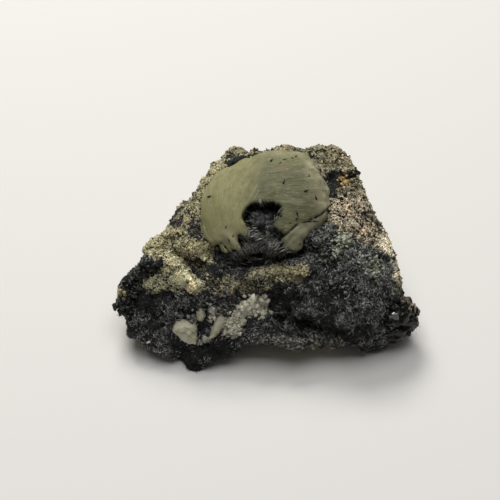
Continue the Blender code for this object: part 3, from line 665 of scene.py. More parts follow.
def mesh_object(name, pts, faces, mat, smooth=True, nodes=()):
    """An object from points in mm and an (n, 3) or (n, 4) face array."""
    me = bpy.data.meshes.new(name)
    pts = pts.copy()
    pts[:, 2] = np.maximum(pts[:, 2], 0.0)
    k = faces.shape[1]
    me.vertices.add(len(pts))
    me.vertices.foreach_set("co", to_world(pts).astype(np.float32).ravel())
    me.loops.add(faces.size)
    me.loops.foreach_set("vertex_index", faces.astype(np.int32).ravel())
    me.polygons.add(len(faces))
    me.polygons.foreach_set("loop_start",
                            np.arange(0, faces.size, k, dtype=np.int32))
    me.update(calc_edges=True)
    me.validate()
    if smooth:
        me.shade_smooth()
    ob = bpy.data.objects.new(name, me)
    bpy.context.scene.collection.objects.link(ob)
    if mat:
        me.materials.append(mat)
    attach(ob, "root")
    if nodes:
        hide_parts(*nodes)
    return ob


def put(me, name, values):
    kind = "FLOAT" if values.ndim == 1 else "FLOAT_VECTOR"
    at = me.attributes.new(name, kind, "POINT")
    at.data.foreach_set("value" if values.ndim == 1 else "vector",
                        values.astype(np.float32).ravel())


# ------------------------------------------------------------------ materials
class Nodes:
    """A short hand for building a material's node tree."""

    def __init__(self, name):
        self.mat = bpy.data.materials.new(name)
        self.mat.use_nodes = True
        self.t = self.mat.node_tree
        self.bsdf = self.t.nodes["Principled BSDF"]
        self.out = self.t.nodes["Material Output"]

    def add(self, kind, inputs=None, **props):
        n = self.t.nodes.new(kind)
        for k, v in props.items():
            setattr(n, k, v)
        for k, v in (inputs or {}).items():
            self.set(n, k, v)
        return n

    def set(self, node, key, v):
        s = node.inputs[key]
        if isinstance(v, bpy.types.NodeSocket):
            self.t.links.new(v, s)
        elif isinstance(v, bpy.types.Node):
            self.t.links.new(v.outputs[0], s)
        else:
            if isinstance(v, (tuple, list)) and len(v) == 3 and s.type == 'RGBA':
                v = (*v, 1.0)
            s.default_value = v

    def attr(self, name):
        return self.add("ShaderNodeAttribute", attribute_name=name)

    def math(self, op, x, y=0.0, clamp=False):
        n = self.add("ShaderNodeMath", operation=op, use_clamp=clamp)
        self.set(n, 0, x)
        self.set(n, 1, y)
        return n.outputs[0]

    def ramp(self, x, lo, hi, a=0.0, b=1.0, smooth=False):
        n = self.add("ShaderNodeMapRange", clamp=True)
        if smooth:
            n.interpolation_type = 'SMOOTHSTEP'
        self.set(n, "Value", x)
        self.set(n, "From Min", lo)
        self.set(n, "From Max", hi)
        self.set(n, "To Min", a)
        self.set(n, "To Max", b)
        return n.outputs["Result"]

    def mix(self, t, x, y, blend='MIX'):
        n = self.add("ShaderNodeMix", data_type='RGBA', blend_type=blend)
        self.set(n, 0, t)
        self.set(n, 6, x)
        self.set(n, 7, y)
        return n.outputs[2]

    def coords(self):
        return self.add("ShaderNodeTexCoord").outputs["Object"]

    def noise(self, vec, size_mm, detail=2.0, rough=0.5, distortion=0.0):
        n = self.add("ShaderNodeTexNoise", {"Scale": 1000.0 / size_mm,
                                            "Detail": detail,
                                            "Roughness": rough,
                                            "Distortion": distortion})
        self.set(n, "Vector", vec)
        return n

    def voronoi(self, vec, size_mm, feature='F1', randomness=1.0):
        n = self.add("ShaderNodeTexVoronoi", {"Scale": 1000.0 / size_mm,
                                              "Randomness": randomness},
                     feature=feature)
        self.set(n, "Vector", vec)
        return n

    def bump(self, height, distance_mm, strength=1.0, normal=None):
        n = self.add("ShaderNodeBump", {"Strength": strength,
                                        "Distance": distance_mm * MM})
        self.set(n, "Height", height)
        if normal is not None:
            self.set(n, "Normal", normal)
        return n.outputs[0]


def rock_material():
    m = Nodes("rock_speckled")
    co = m.coords()
    warp = m.noise(co, 0.9, 2.0)
    wv = m.add("ShaderNodeVectorMath", operation='MULTIPLY_ADD')
    m.set(wv, 0, warp.outputs["Color"])
    wv.inputs[1].default_value = (0.0004, 0.0004, 0.0004)
    m.set(wv, 2, co)
    vec = wv.outputs[0]
    v1 = m.voronoi(vec, 0.58)
    v2 = m.voronoi(vec, 0.29)
    n1 = m.noise(co, 0.45, 3.0, 0.65)
    n2 = m.noise(co, 3.4, 3.0, 0.6)
    s1 = m.add("ShaderNodeSeparateColor", {"Color": v1.outputs["Color"]})
    s2 = m.add("ShaderNodeSeparateColor", {"Color": v2.outputs["Color"]})
    r = m.math('ADD', m.math('MULTIPLY', s1.outputs[0], 0.5),
               m.math('MULTIPLY', s2.outputs[0], 0.5))
    r = m.ramp(r, 0.12, 0.88)
    dark = m.attr("dark").outputs["Fac"]
    crust = m.attr("crust").outputs["Fac"]
    tone = m.attr("tone").outputs["Vector"]
    is_dark = m.ramp(m.math('SUBTRACT', dark, r), -0.12, 0.08, 0.0, 1.0, True)
    lum = m.ramp(s2.outputs[1], 0.0, 1.0, 0.50, 1.35)
    lum = m.math('MULTIPLY', lum, m.ramp(n1.outputs["Fac"], 0.3, 0.7, 0.68, 1.22))
    lum = m.math('MULTIPLY', lum, m.ramp(n2.outputs["Fac"], 0.35, 0.65, 0.74, 1.16))
    scaled = m.add("ShaderNodeVectorMath", operation='SCALE')
    m.set(scaled, 0, tone)
    m.set(scaled, "Scale", lum)
    shade = m.ramp(s1.outputs[2], 0.0, 1.0, 0.35, 1.6)
    dmix = m.mix(m.ramp(dark, 0.20, 0.65), (0.082, 0.077, 0.046),
                 (0.0225, 0.0228, 0.0235))
    dcol = m.add("ShaderNodeVectorMath", operation='SCALE')
    m.set(dcol, 0, dmix)
    m.set(dcol, "Scale", shade)
    col = m.mix(is_dark, scaled.outputs[0], dcol.outputs[0])
    m.set(m.bsdf, "Base Color", col)
    rough = m.math('ADD', m.ramp(is_dark, 0.0, 1.0, 0.84, 0.60),
                   m.math('MULTIPLY', crust, -0.2), True)
    m.set(m.bsdf, "Roughness", rough)
    m.bsdf.inputs["Specular IOR Level"].default_value = 0.12
    h = m.math('ADD', m.math('MULTIPLY', s1.outputs[2], 0.45),
               m.math('MULTIPLY', s2.outputs[2], 0.30))
    h = m.math('ADD', h, m.math('MULTIPLY', n1.outputs["Fac"], 1.3))
    m.set(m.bsdf, "Normal", m.bump(h, 0.30, 1.0))
    return m.mat


def grain_material(name, rough=0.6, waxy=0.0):
    """Crystals that each carry a colour of their own."""
    m = Nodes(name)
    tone = m.attr("tone").outputs["Vector"]
    co = m.coords()
    n = m.noise(co, 0.3, 2.0).outputs["Fac"]
    sc = m.add("ShaderNodeVectorMath", operation='SCALE')
    m.set(sc, 0, tone)
    m.set(sc, "Scale", m.ramp(n, 0.3, 0.7, 0.8, 1.2))
    m.set(m.bsdf, "Base Color", sc.outputs[0])
    m.set(m.bsdf, "Roughness", m.ramp(n, 0.3, 0.7, rough - 0.1, rough + 0.1))
    m.bsdf.inputs["Specular IOR Level"].default_value = 0.35 if waxy else 0.15
    if waxy:
        m.bsdf.inputs["Subsurface Weight"].default_value = waxy
        m.bsdf.inputs["Subsurface Radius"].default_value = (1.0, 1.0, 0.6)
        m.bsdf.inputs["Subsurface Scale"].default_value = 0.0006
    m.set(m.bsdf, "Normal", m.bump(n, 0.05, 0.5))
    return m.mat


def ball_material(name="prehnite_fibrous", pale_and_painted_light_tone=(0.46, 0.435, 0.29)):
    m = Nodes(name)
    lines = (m.attr("fibre").outputs["Vector"],
             m.attr("fibre_right").outputs["Vector"])
    side = m.attr("side").outputs["Fac"]
    lobe = m.attr("lobe").outputs["Fac"]
    pale_tone_and_painted_light = m.attr("pale_tone_and_painted_light").outputs["Fac"]
    cracks_and_painted_shade = m.attr("cracks_and_painted_shade").outputs["Fac"]
    co = m.coords()

    def streak(sx, sy, detail, seed, rough=0.6):
        out = []
        for fib in lines:
            mp = m.add("ShaderNodeMapping")
            m.set(mp, "Vector", fib)
            mp.inputs["Scale"].default_value = (sx, sy, 1.0)
            mp.inputs["Location"].default_value = (seed, seed * 1.7, seed)
            n = m.add("ShaderNodeTexNoise", {"Scale": 1.0, "Detail": detail,
                                             "Roughness": rough,
                                             "Distortion": 0.25})
            m.set(n, "Vector", mp.outputs[0])
            out.append(n.outputs["Fac"])
        mx = m.add("ShaderNodeMix", data_type='FLOAT')
        m.set(mx, 0, side)
        m.set(mx, 2, out[0])
        m.set(mx, 3, out[1])
        return mx.outputs[0]

    broad = streak(0.060, 0.26, 3.0, 3.1)
    thin = streak(0.090, 1.1, 3.0, 7.7)
    hair = streak(0.16, 2.6, 2.0, 1.3)
    cloud = m.noise(co, 5.0, 3.0).outputs["Fac"]
    mottle = m.noise(co, 1.3, 4.0, 0.7).outputs["Fac"]
    # painted shade: the right lobe takes a darker copy of the left lobe's colour, for facing
    # away from the light
    left = m.mix(m.ramp(cloud, 0.3, 0.7), (0.245, 0.236, 0.098),
                 (0.300, 0.289, 0.132))
    right = m.mix(m.ramp(cloud, 0.3, 0.7), (0.100, 0.103, 0.050),
                  (0.142, 0.143, 0.074))
    base = m.mix(lobe, left, right)
    base = m.mix(m.ramp(broad, 0.46, 0.70, 0.0, 0.28), base,
                 (0.36, 0.35, 0.18))
    base = m.mix(m.ramp(broad, 0.46, 0.26, 0.0, 0.28), base,
                 (0.115, 0.118, 0.060))
    base = m.mix(m.ramp(thin, 0.54, 0.72, 0.0, 0.28), base,
                 (0.50, 0.48, 0.28))
    base = m.mix(m.ramp(thin, 0.44, 0.26, 0.0, 0.28), base,
                 (0.10, 0.102, 0.048))
    base = m.mix(m.ramp(hair, 0.60, 0.70, 0.0, 0.50), base,
                 (0.58, 0.56, 0.38))
    base = m.mix(m.ramp(mottle, 0.52, 0.70, 0.0, 0.26), base,
                 (0.34, 0.335, 0.19))
    base = m.mix(m.ramp(mottle, 0.48, 0.30, 0.0, 0.30), base,
                 (0.11, 0.112, 0.062))
    base = m.mix(m.attr("rose").outputs["Fac"], base, (0.25, 0.20, 0.115))
    # painted light on the ball: lighter right rim, top edge, lower left and low wedge, where
    # light falls on or shines through it; on the beads the same mix gives their pale tone
    base = m.mix(pale_tone_and_painted_light, base, pale_and_painted_light_tone)
    # dark cracks, painted shade along the crease and round the hollow's rim, and a slight
    # darkening low on the left
    base = m.mix(cracks_and_painted_shade, base, (0.050, 0.053, 0.036))
    m.set(m.bsdf, "Base Color", base)
    m.set(m.bsdf, "Roughness", m.ramp(thin, 0.3, 0.7, 0.62, 0.50))
    m.bsdf.inputs["Subsurface Weight"].default_value = 0.18
    m.bsdf.inputs["Subsurface Radius"].default_value = (1.0, 1.0, 0.5)
    m.bsdf.inputs["Subsurface Scale"].default_value = 0.0010
    m.bsdf.inputs["IOR"].default_value = 1.55
    m.bsdf.inputs["Specular IOR Level"].default_value = 0.22
    pits = m.noise(co, 0.6, 3.0, 0.65).outputs["Fac"]
    h = m.math('ADD', m.math('MULTIPLY', thin, 0.7),
               m.math('MULTIPLY', hair, 0.35))
    h = m.math('ADD', h, m.math('MULTIPLY', pits, 0.5))
    m.set(m.bsdf, "Normal", m.bump(h, 0.20, 0.9))
    return m.mat


def needle_material(name, dark, light, rough=0.4):
    """Each needle has its own tone between the dark and the light colour, the light one
    painted sheen; noise darkens it in patches.
    """
    m = Nodes(name)
    t = m.attr("tone").outputs["Fac"]
    co = m.coords()
    n = m.noise(co, 0.35, 2.0).outputs["Fac"]
    col = m.mix(t, dark, light)
    col = m.mix(m.ramp(n, 0.3, 0.7, 0.0, 0.35), col, dark)
    m.set(m.bsdf, "Base Color", col)
    m.set(m.bsdf, "Roughness", m.ramp(n, 0.3, 0.7, rough - 0.08, rough + 0.15))
    m.bsdf.inputs["Specular IOR Level"].default_value = 0.28
    return m.mat


def black_material(name="crystal_black", rough=(0.12, 0.42), relief=0.5,
                   gloss=0.35):
    m = Nodes(name)
    co = m.coords()
    n = m.noise(co, 0.8, 3.0, 0.6).outputs["Fac"]
    f = m.noise(co, 0.25, 2.0).outputs["Fac"]
    col = m.mix(m.ramp(n, 0.45, 0.75), (0.006, 0.0065, 0.006),
                (0.026, 0.025, 0.021))
    m.set(m.bsdf, "Base Color", col)
    m.set(m.bsdf, "Roughness", m.ramp(n, 0.35, 0.7, *rough))
    m.bsdf.inputs["Specular IOR Level"].default_value = gloss
    m.set(m.bsdf, "Normal", m.bump(m.math('ADD', n, m.math('MULTIPLY', f, 0.3)),
                                   0.12, relief))
    return m.mat


ROCK = rock_material()
BALL = ball_material()
BEAD = ball_material("prehnite_pale_fibrous", (0.62, 0.59, 0.455))
GRAINS = grain_material("rock_grains", 0.62)
WAXY = grain_material("prehnite_grains", 0.45, 0.2)
# the light colour of each needle material is painted sheen: pale needles stand for light
# glancing off needle faces
DARK_NEEDLE = needle_material("needles_dark", (0.0265, 0.0270, 0.0278),
                              (0.70, 0.70, 0.66))
POCKET_NEEDLE = needle_material("needles_pocket", (0.014, 0.0145, 0.0142),
                                (0.60, 0.60, 0.54))
BLACK = black_material()
GLASSY = black_material("crystal_black_face", (0.03, 0.08), 0.04, 1.0)


# ----------------------------------------------------------------------- rock
GRAIN = Cells(41, 0.80)
BLOCK = Cells(42, 1.9)
FRACTURE = Cells(43, 5.0)


def rock_fine(p):
    dark, tone, felt, crust, back, painted_sheen, (c1, c2, cv) = paint_rock(p)
    light = (1.0 - felt) * (1.0 - crust)
    d1, d2, val = GRAIN(p)
    chip = FINE[1](p + 20.0)
    f = light * (0.10 * (0.50 - d1) + 0.24 * (val - 0.5) + 0.36 * chip)
    f = f + light * (0.25 * (0.55 - c1) + 0.85 * (cv - 0.5)
                     - 0.40 * smoothstep(0.14, 0.0, c2 - c1)
                     + 0.50 * FINE[0](p + 80.0))
    inner = smoothstep(-1.0, 8.0, read_map(RIM, *survey(p)[:2]))
    f = f + felt * (0.35 + 0.65 * inner) * (
        1.05 * FINE[0](p + 50.0) + 0.60 * chip + 0.45 * (val - 0.5)
        + 0.9 * (cv - 0.5) + 0.5 * MID(p + 31.0))
    sel = crust > 0.02
    if sel.any():
        b1, b2, bv = BLOCK(p[sel])
        add = np.zeros(len(p))
        add[sel] = (1.2 * (bv - 0.5) + 0.4 * np.minimum(b2 - b1, 0.25)) * crust[sel]
        f = f + add
    sel = back > 0.02
    if sel.any():
        c1, c2, cv = FRACTURE(p[sel] + 0.6 * FINE[0](p[sel])[:, None])
        add = np.zeros(len(p))
        add[sel] = back[sel] * (1.0 * (cv - 0.5))
        f = f + add
    f = f + 0.14 * FINE[0](p + 50.0) + 0.12 * FINE[2](p + 50.0)
    # keep the resting patches level
    low = smoothstep(0.2, 1.6, p[:, 2])
    return f * low


pts, quads = voxel_mesh("rock", (-36.0, -29.0, -1.2), (43.5, 28.5, 34.5),
                        0.425, rock_coarse, rock_fine, reach=2.2)
pts[:, 2] = np.maximum(pts[:, 2], 0.0)
rock = mesh_object("rock_body", pts, quads, ROCK,
                   nodes=("matrix",))
dark, tone, felt, crust, back, painted_sheen, _c = paint_rock(pts)
put(rock.data, "dark", dark)
put(rock.data, "tone", tone)
put(rock.data, "felt", felt)
put(rock.data, "crust", crust)
ROCK_PTS, ROCK_QUADS = pts, quads
stamp("rock")


# ----------------------------------------------------------------------- ball
CREASE = [(262, 152), (263, 168), (259, 188), (255, 200), (248, 212)]
CRACKS = [
    ([(315, 218), (320, 215.5), (324, 212), (329, 208)], 0.9),
    ([(303, 222.5), (311, 221.6)], 0.6),
    ([(280, 239), (286, 234), (291, 230), (297, 225)], 1.1),
]
WEDGE_LINE = ([276, 284, 290, 300, 316, 331], [246, 240, 231, 224, 217, 208])


def fibre_lines(a, b):
    """Along and across the fibres: the left lobe curls round the hollow, the
    right lobe runs nearly level, the low right lobe fans to the right."""
    x, y = a - 289.0, b - 203.0
    ang = np.arctan2(y, -x)
    rad = np.hypot(x, y)
    left = (ang * 62.0, rad)
    x, y = a - 120.0, b - 196.0
    right = (np.hypot(x, y), np.arctan2(y, x) * 175.0 + 60.0)
    x, y = a - 262.0, b - 268.0
    low = (np.hypot(x, y), np.arctan2(y, x) * 55.0 + 130.0)
    return left, right, low


def ball_regions(p):
    a, b, w = survey(p)
    na = 2.2 * FINE[0](p) + 1.2 * FINE[1](p)
    side = a + na - np.interp(b, [150, 168, 188, 200, 215, 235],
                              [262, 263, 259, 255, 246, 244])
    right = smoothstep(-7.0, 6.0, side)
    line = np.interp(a, *WEDGE_LINE)
    low = (smoothstep(-1.2, 1.2, b + na * 0.5 - line)
           * smoothstep(274, 280, a))
    return a, b, w, right, low


def ball_coarse(p):
    a, b, w = survey(p)
    wt = w - BALL_TILT * (b - 213)
    f = np.full(a.shape, -1e3)
    for (ca, cb), (ra, rb), wc, thick in LOBES:
        r = np.sqrt(((a - ca) / ra) ** 2 + ((b - cb) / rb) ** 2
                    + ((wt - wc) / thick) ** 2)
        f = smooth_max(f, (1.0 - r) * thick, 2.5)
    ragged = 0.9 + 1.6 * smoothstep(232, 245, b)
    edge = read_map(BALL_RIM, a, b) + ragged * (1.1 * FINE[0](p + 61.0)
                                                + 0.9 * FINE[1](p + 61.0))
    f = smooth_min(f, edge * UNIT + 0.42, 1.0 + 1.4 * smoothstep(238, 222, b))
    f = smooth_min(f, wt - LOBES[0][2] + BALL_SEAT, 1.0)
    hollow = (read_map(POCKET_RIM, a, b) + 1.9 * FINE[1](p + 65.0)
              + 1.5 * FINE[0](p + 66.0))
    pocket = smooth_min(hollow * UNIT, w - 6.4 - 0.02 * (250 - b), 1.2)
    return smooth_min(f, -pocket, 0.9)


RIB, RIB2 = Lumps(51, 1.0), Lumps(52, 1.0)


def ball_fine(p):
    a, b, w, right, low = ball_regions(p)
    lines = fibre_lines(a, b)

    def ridges(u, v, s):
        q = np.stack((u * 0.05 + s, v * 0.22, 0 * u + s), -1)
        q2 = np.stack((u * 0.10 + s, v * 0.60, 0 * u - s), -1)
        return RIB(q) + 0.5 * RIB2(q2)

    r = ridges(*lines[0], 1.0) * (1 - right) + ridges(*lines[1], 5.0) * right
    r = r * (1 - low) + ridges(*lines[2], 9.0) * low
    f = 0.085 * r
    crease = path_distance(a, b, CREASE)
    f = f - 0.10 * np.exp(-(crease / 5.0) ** 2)
    for path, width in CRACKS:
        f = f - 0.45 * np.exp(-(path_distance(a, b, path) / width) ** 2)
    f = f - 0.13 * low
    # the ragged flakes low on the left
    flakes = smoothstep(232, 250, b) * (1 - right)
    f = f - 0.5 * flakes * smoothstep(0.1, 0.6, RIB(np.stack(
        (lines[0][0] * 0.03, lines[0][1] * 0.16, 0 * a + 3.0), -1)))
    f = f + 0.12 * FINE[0](p + 9.0) + 0.20 * MID(p + 9.0)
    return f


pts, quads = voxel_mesh("ball", (-18.0, -14.0, 10.0), (24.0, 26.0, 38.0),
                        0.27, ball_coarse, ball_fine)
ball = mesh_object("ball_body", pts, quads, BALL,
                   nodes=("prehnite_ball",))
BALL_PTS, BALL_QUADS = pts, quads
a, b, w, right, low = ball_regions(pts)
left_l, right_l, low_l = fibre_lines(a, b)
u = np.where(low > 0.5, low_l[0] + 700.0, right_l[0] + 300.0)
v = np.where(low > 0.5, low_l[1] + 700.0, right_l[1] + 300.0)
put(ball.data, "fibre", np.stack((left_l[0], left_l[1], 0 * u), -1))
put(ball.data, "fibre_right", np.stack((u, v, 0 * u), -1))
put(ball.data, "side", right)
# painted highlight: the ball's top takes the lighter left-lobe colour, while the right lobe
# keeps its darker painted-shade colour
top = smoothstep(172, 154, b)
put(ball.data, "lobe", np.clip(right - 0.45 * top + 0.10 * low
                               + 0.25 * FINE[0](pts + 5.0) * right, 0, 1))
rose = (0.40 * np.exp(-((a - 282) / 8) ** 2 - ((b - 167) / 6) ** 2)
        + 0.40 * np.exp(-((a - 232) / 14) ** 2 - ((b - 243) / 9) ** 2)
        + 0.45 * np.exp(-((a - 317) / 8) ** 2 - ((b - 197) / 8) ** 2)
        + 0.20 * np.exp(-((a - 231) / 9) ** 2 - ((b - 226) / 8) ** 2))
put(ball.data, "rose", np.clip(rose * (1 + 1.2 * FINE[1](pts + 15.0)), 0, 1))
# painted light: lighter along the right rim, the top edge, the lower left and the low wedge,
# and two thin pale lines by the crease
pale_tone_and_painted_light = (0.62 * np.exp(-(path_distance(a, b, [(312, 166), (324, 180),
                                              (330, 194), (327, 208)])
                        / 8.0) ** 2)
        + 0.55 * np.exp(-(path_distance(a, b, [(257, 185), (252, 194),
                                                (246, 204)]) / 0.8) ** 2)
        + 0.45 * np.exp(-(path_distance(a, b, [(259, 190), (254, 199)])
                          / 0.7) ** 2)
        + 0.28 * np.exp(-(path_distance(a, b, [(262, 153), (285, 151),
                                                (302, 154)]) / 5.0) ** 2)
        + 0.35 * np.exp(-(path_distance(a, b, [(222, 230), (236, 240),
                                                (244, 248)]) / 3.0) ** 2)
        + 0.24 * smoothstep(218, 244, b) * (a < 250) + 0.42 * low
        + 0.16 * smoothstep(306, 324, a) * (1 - low))
pale_tone_and_painted_light = pale_tone_and_painted_light * (1 + 0.8 * FINE[1](pts))
cracks_and_painted_shade = 0 * a
for path, width in CRACKS:
    cracks_and_painted_shade = cracks_and_painted_shade + 0.9 * np.exp(-(path_distance(a, b, path) / (0.9 * width)) ** 2)
cracks_and_painted_shade = cracks_and_painted_shade * np.clip(1 + 1.2 * FINE[1](pts + 4.0), 0, 1)
# darker towards the lower left
cracks_and_painted_shade = cracks_and_painted_shade + 0.05 * smoothstep(216, 250, b) * smoothstep(236, 204, a)
hollow_rim = read_map(POCKET_RIM, a, b)
# painted shade round the hollow's rim and along the crease between the lobes
cracks_and_painted_shade = cracks_and_painted_shade + 0.40 * np.exp(-(hollow_rim / 2.6) ** 2) * (a > 250)
cracks_and_painted_shade = cracks_and_painted_shade + 0.26 * np.exp(-(path_distance(
    a, b, [(260, 156), (256, 176), (251, 198)]) / 9.0) ** 2)
put(ball.data, "pale_tone_and_painted_light", np.clip(pale_tone_and_painted_light, 0, 1))
put(ball.data, "cracks_and_painted_shade", np.clip(cracks_and_painted_shade, 0, 1))
stamp("ball")


# -------------------------------------------------------------------- needles
def triangles_of(pts, quads):
    return np.concatenate((quads[:, [0, 1, 2]], quads[:, [0, 2, 3]]))


def first_depth(tree, a, b, default):
    """Depth of the nearest surface on each survey line."""
    a, b = np.atleast_1d(np.asarray(a, float)), np.atleast_1d(np.asarray(b, float))
    eye_at = ORIGIN + DISTANCE * TOWARD
    out = np.array(default, float) + 0 * a
    start = at_depth(a, b, 30.0 + 0 * a)
    for k in range(len(a)):
        d = start[k] - eye_at
        hit = tree.ray_cast(Vector(start[k]), Vector(d / np.linalg.norm(d)), 80.0)
        if hit[0] is not None:
            out[k] = (np.array(hit[0]) - ORIGIN) @ TOWARD
    return out


ROCK_TREE = BVHTree.FromPolygons(ROCK_PTS.tolist(), ROCK_QUADS.tolist())
BALL_TREE = BVHTree.FromPolygons(BALL_PTS.tolist(), BALL_QUADS.tolist())
stamp("trees")


ROCK_TRIS = triangles_of(ROCK_PTS, ROCK_QUADS)
_t = ROCK_PTS[ROCK_TRIS]
_n = np.cross(_t[:, 1] - _t[:, 0], _t[:, 2] - _t[:, 0])
ROCK_AREA = 0.5 * np.linalg.norm(_n, axis=1)
ROCK_NORMAL = _n / np.maximum(2 * ROCK_AREA[:, None], 1e-9)
ROCK_MID = _t.mean(1)


def surface_depth(a, b):
    a, b = np.atleast_1d(np.asarray(a, float)), np.atleast_1d(np.asarray(b, float))
    return first_depth(ROCK_TREE, a, b, read_map(RELIEF, a, b))


def scatter(weight, count, seed):
    """Points on the rock, as many where weight is more."""
    r = np.random.RandomState(seed)
    p = ROCK_AREA * weight
    i = r.choice(len(p), count, p=p / p.sum())
    u, v = r.uniform(size=(2, count))
    flip = u + v > 1
    u[flip], v[flip] = 1 - u[flip], 1 - v[flip]
    t = ROCK_PTS[ROCK_TRIS[i]]
    q = t[:, 0] + u[:, None] * (t[:, 1] - t[:, 0]) + v[:, None] * (t[:, 2] - t[:, 0])
    return q, ROCK_NORMAL[i], i, r


def spindle_mesh(name, base, direction, length, radius, tone, mat, seed,
                 nodes=(), side=3, waist=0.35, blunt=False):
    """Closed pointed needles, each two points and a ring between them.

    A blunt one has its ring at the foot and a flat end there instead."""
    n = len(base)
    r = np.random.RandomState(seed)
    ref = r.normal(size=(n, 3))
    x = np.cross(direction, ref)
    x /= np.linalg.norm(x, axis=1)[:, None]
    y = np.cross(direction, x)
    rows = [] if blunt else [base]
    mid = base + direction * (length * (0.0 if blunt else waist))[:, None]
    for k in range(side):
        t = 2 * math.pi * k / side
        rows.append(mid + (x * math.cos(t) + y * math.sin(t)) * radius[:, None])
    rows.append(base + direction * length[:, None])
    pts = np.stack(rows, 1).reshape(-1, 3)
    m = side + (1 if blunt else 2)
    f = [(0, 2, 1)] if blunt else []
    for k in range(side):
        j = (k + 1) % side
        if not blunt:
            f.append((0, 1 + j, 1 + k))
        f.append((m - 1, k + m - 1 - side, j + m - 1 - side))
    f = (np.array(f)[None] + (np.arange(n) * m)[:, None, None]).reshape(-1, 3)
    ob = mesh_object(name, pts, f, mat, smooth=False, nodes=nodes)
    put(ob.data, "tone", np.repeat(tone, m))
    return ob


def felt_needles(name, weight, tufts, each, seed, length, radius, lift_deg):
    """Tufts of needles; those of one tuft lean alike and share a tone."""
    q, n, i, r = scatter(weight, tufts, seed)
    swirl = np.stack((FINE[0](q + 70), FINE[0](q + 90), FINE[0](q + 120)), -1)
    d0 = swirl * 1.2 + r.normal(size=(tufts, 3)) * 0.7
    d0 -= (d0 * n).sum(1)[:, None] * n
    d0 /= np.linalg.norm(d0, axis=1)[:, None]
    patch = np.clip(0.75 + 1.5 * MID(q + 31.0) + 1.1 * FINE[0](q + 33.0), 0.12, 2.2)
    # painted sheen: this share of tufts takes the light needle tone
    share = np.clip(0.95 * ROCK_PAINTED_SHEEN[i] * patch, 0.0, 0.75)
    k = r.uniform(size=tufts)
    t0 = r.uniform(0.0, 0.06, tufts)
    t0 = np.where(k < share, r.uniform(0.12, 0.50, tufts), t0)
    t0 = np.where(k < share * 0.34, r.uniform(0.5, 1.0, tufts), t0)
    count = tufts * each
    q, n, i, d0, t0 = (np.repeat(x, each, axis=0) for x in (q, n, i, d0, t0))
    side = np.cross(n, d0)
    d = d0 + side * (r.normal(size=count) * 0.55)[:, None]
    d /= np.linalg.norm(d, axis=1)[:, None]
    up = np.radians(r.uniform(lift_deg[0], lift_deg[1], count))
    d = d * np.cos(up)[:, None] + n * np.sin(up)[:, None]
    t = np.clip(t0 * r.choice((0.05, 0.2, 1.1, 1.9), count), 0, 1)
    ln = r.uniform(length[0], length[1], count) * (0.9 + 0.5 * (t > 0.12))
    ln = ln * (0.40 + 0.60 * R_INNER[i])
    rad = r.uniform(radius[0], radius[1], count) * (1.0 + 0.30 * (t > 0.12))
    base = (q + side * (r.normal(size=count) * 0.50)[:, None]
            + d0 * (r.normal(size=count) * 0.40)[:, None] - d * (ln * 0.35)[:, None]
            + n * (r.uniform(-0.16, 0.05, count) + 0.12 * (t > 0.1))[:, None])
    return spindle_mesh(name, base, d, ln, rad, t, DARK_NEEDLE, seed + 1,
                        blunt=True)


(R_DARK, R_TONE, R_FELT, R_CRUST, R_BACK, ROCK_PAINTED_SHEEN,
 R_CLOD) = paint_rock(ROCK_MID)
R_A, R_B, R_W = survey(ROCK_MID)
FACING = np.clip(ROCK_NORMAL @ TOWARD + 0.35, 0.0, 1.0)
OPEN = ((read_map(BALL_RIM, R_A, R_B) < 2)
        & ((read_map(POCKET_RIM, R_A, R_B) < 0) | (R_B > 246))
        & (ROCK_MID[:, 2] > 0.6))
FELT_W = np.where(R_FELT < 0.3, 0.0, R_FELT) * (1 - R_BACK) * (
    0.25 + 0.75 * FACING) * OPEN
R_INNER = smoothstep(-1.0, 6.0, read_map(RIM, R_A, R_B))
felt_needles("needles_left", FELT_W * (R_A < 262), 3600, 6, 61, (0.4, 1.1),
             (0.06, 0.11), (-6, 14))
felt_needles("needles_middle", FELT_W * (R_A >= 262) * (R_A < 338), 4000, 6, 63,
             (0.45, 1.25), (0.055, 0.105), (-6, 14))
felt_needles("needles_right", FELT_W * (R_A >= 338), 3600, 6, 64, (0.45, 1.25),
             (0.055, 0.105), (-6, 14))
stamp("felt needles")


# --------------------------------------------------------------------- grains
CUBE = np.array([(x, y, z) for x in (-1, 1) for y in (-1, 1) for z in (-1, 1)],
                float) * 0.5
CUBE_FACES = np.array([(0, 1, 3), (0, 3, 2), (4, 6, 7), (4, 7, 5), (0, 4, 5),
                       (0, 5, 1), (2, 3, 7), (2, 7, 6), (0, 2, 6), (0, 6, 4),
                       (1, 5, 7), (1, 7, 3)])


def random_turns(r, n):
    q = r.normal(size=(n, 4))
    q /= np.linalg.norm(q, axis=1)[:, None]
    w, x, y, z = q.T
    return np.stack((
        np.stack((1 - 2 * (y * y + z * z), 2 * (x * y - z * w), 2 * (x * z + y * w)), -1),
        np.stack((2 * (x * y + z * w), 1 - 2 * (x * x + z * z), 2 * (y * z - x * w)), -1),
        np.stack((2 * (x * z - y * w), 2 * (y * z + x * w), 1 - 2 * (x * x + y * y)), -1),
    ), 1)


def grain_mesh(name, centre, size, turns, colour, mat, seed, nodes=(),
               chip=0.22):
    """Small six-sided crystals with knocked corners, each in one colour."""
    r = np.random.RandomState(seed)
    n = len(centre)
    v = CUBE[None] * (1 + r.uniform(-chip, chip, (n, 8, 1)))
    v = v + r.uniform(-chip, chip, (n, 8, 3)) * 0.5
    v = v * size[:, None, :]
    v = np.einsum("nij,nkj->nki", turns, v) + centre[:, None, :]
    f = (CUBE_FACES[None] + (np.arange(n) * 8)[:, None, None]).reshape(-1, 3)
    ob = mesh_object(name, v.reshape(-1, 3), f, mat, smooth=False,
                     nodes=nodes)
    put(ob.data, "tone", np.repeat(colour, 8, axis=0))
    return ob


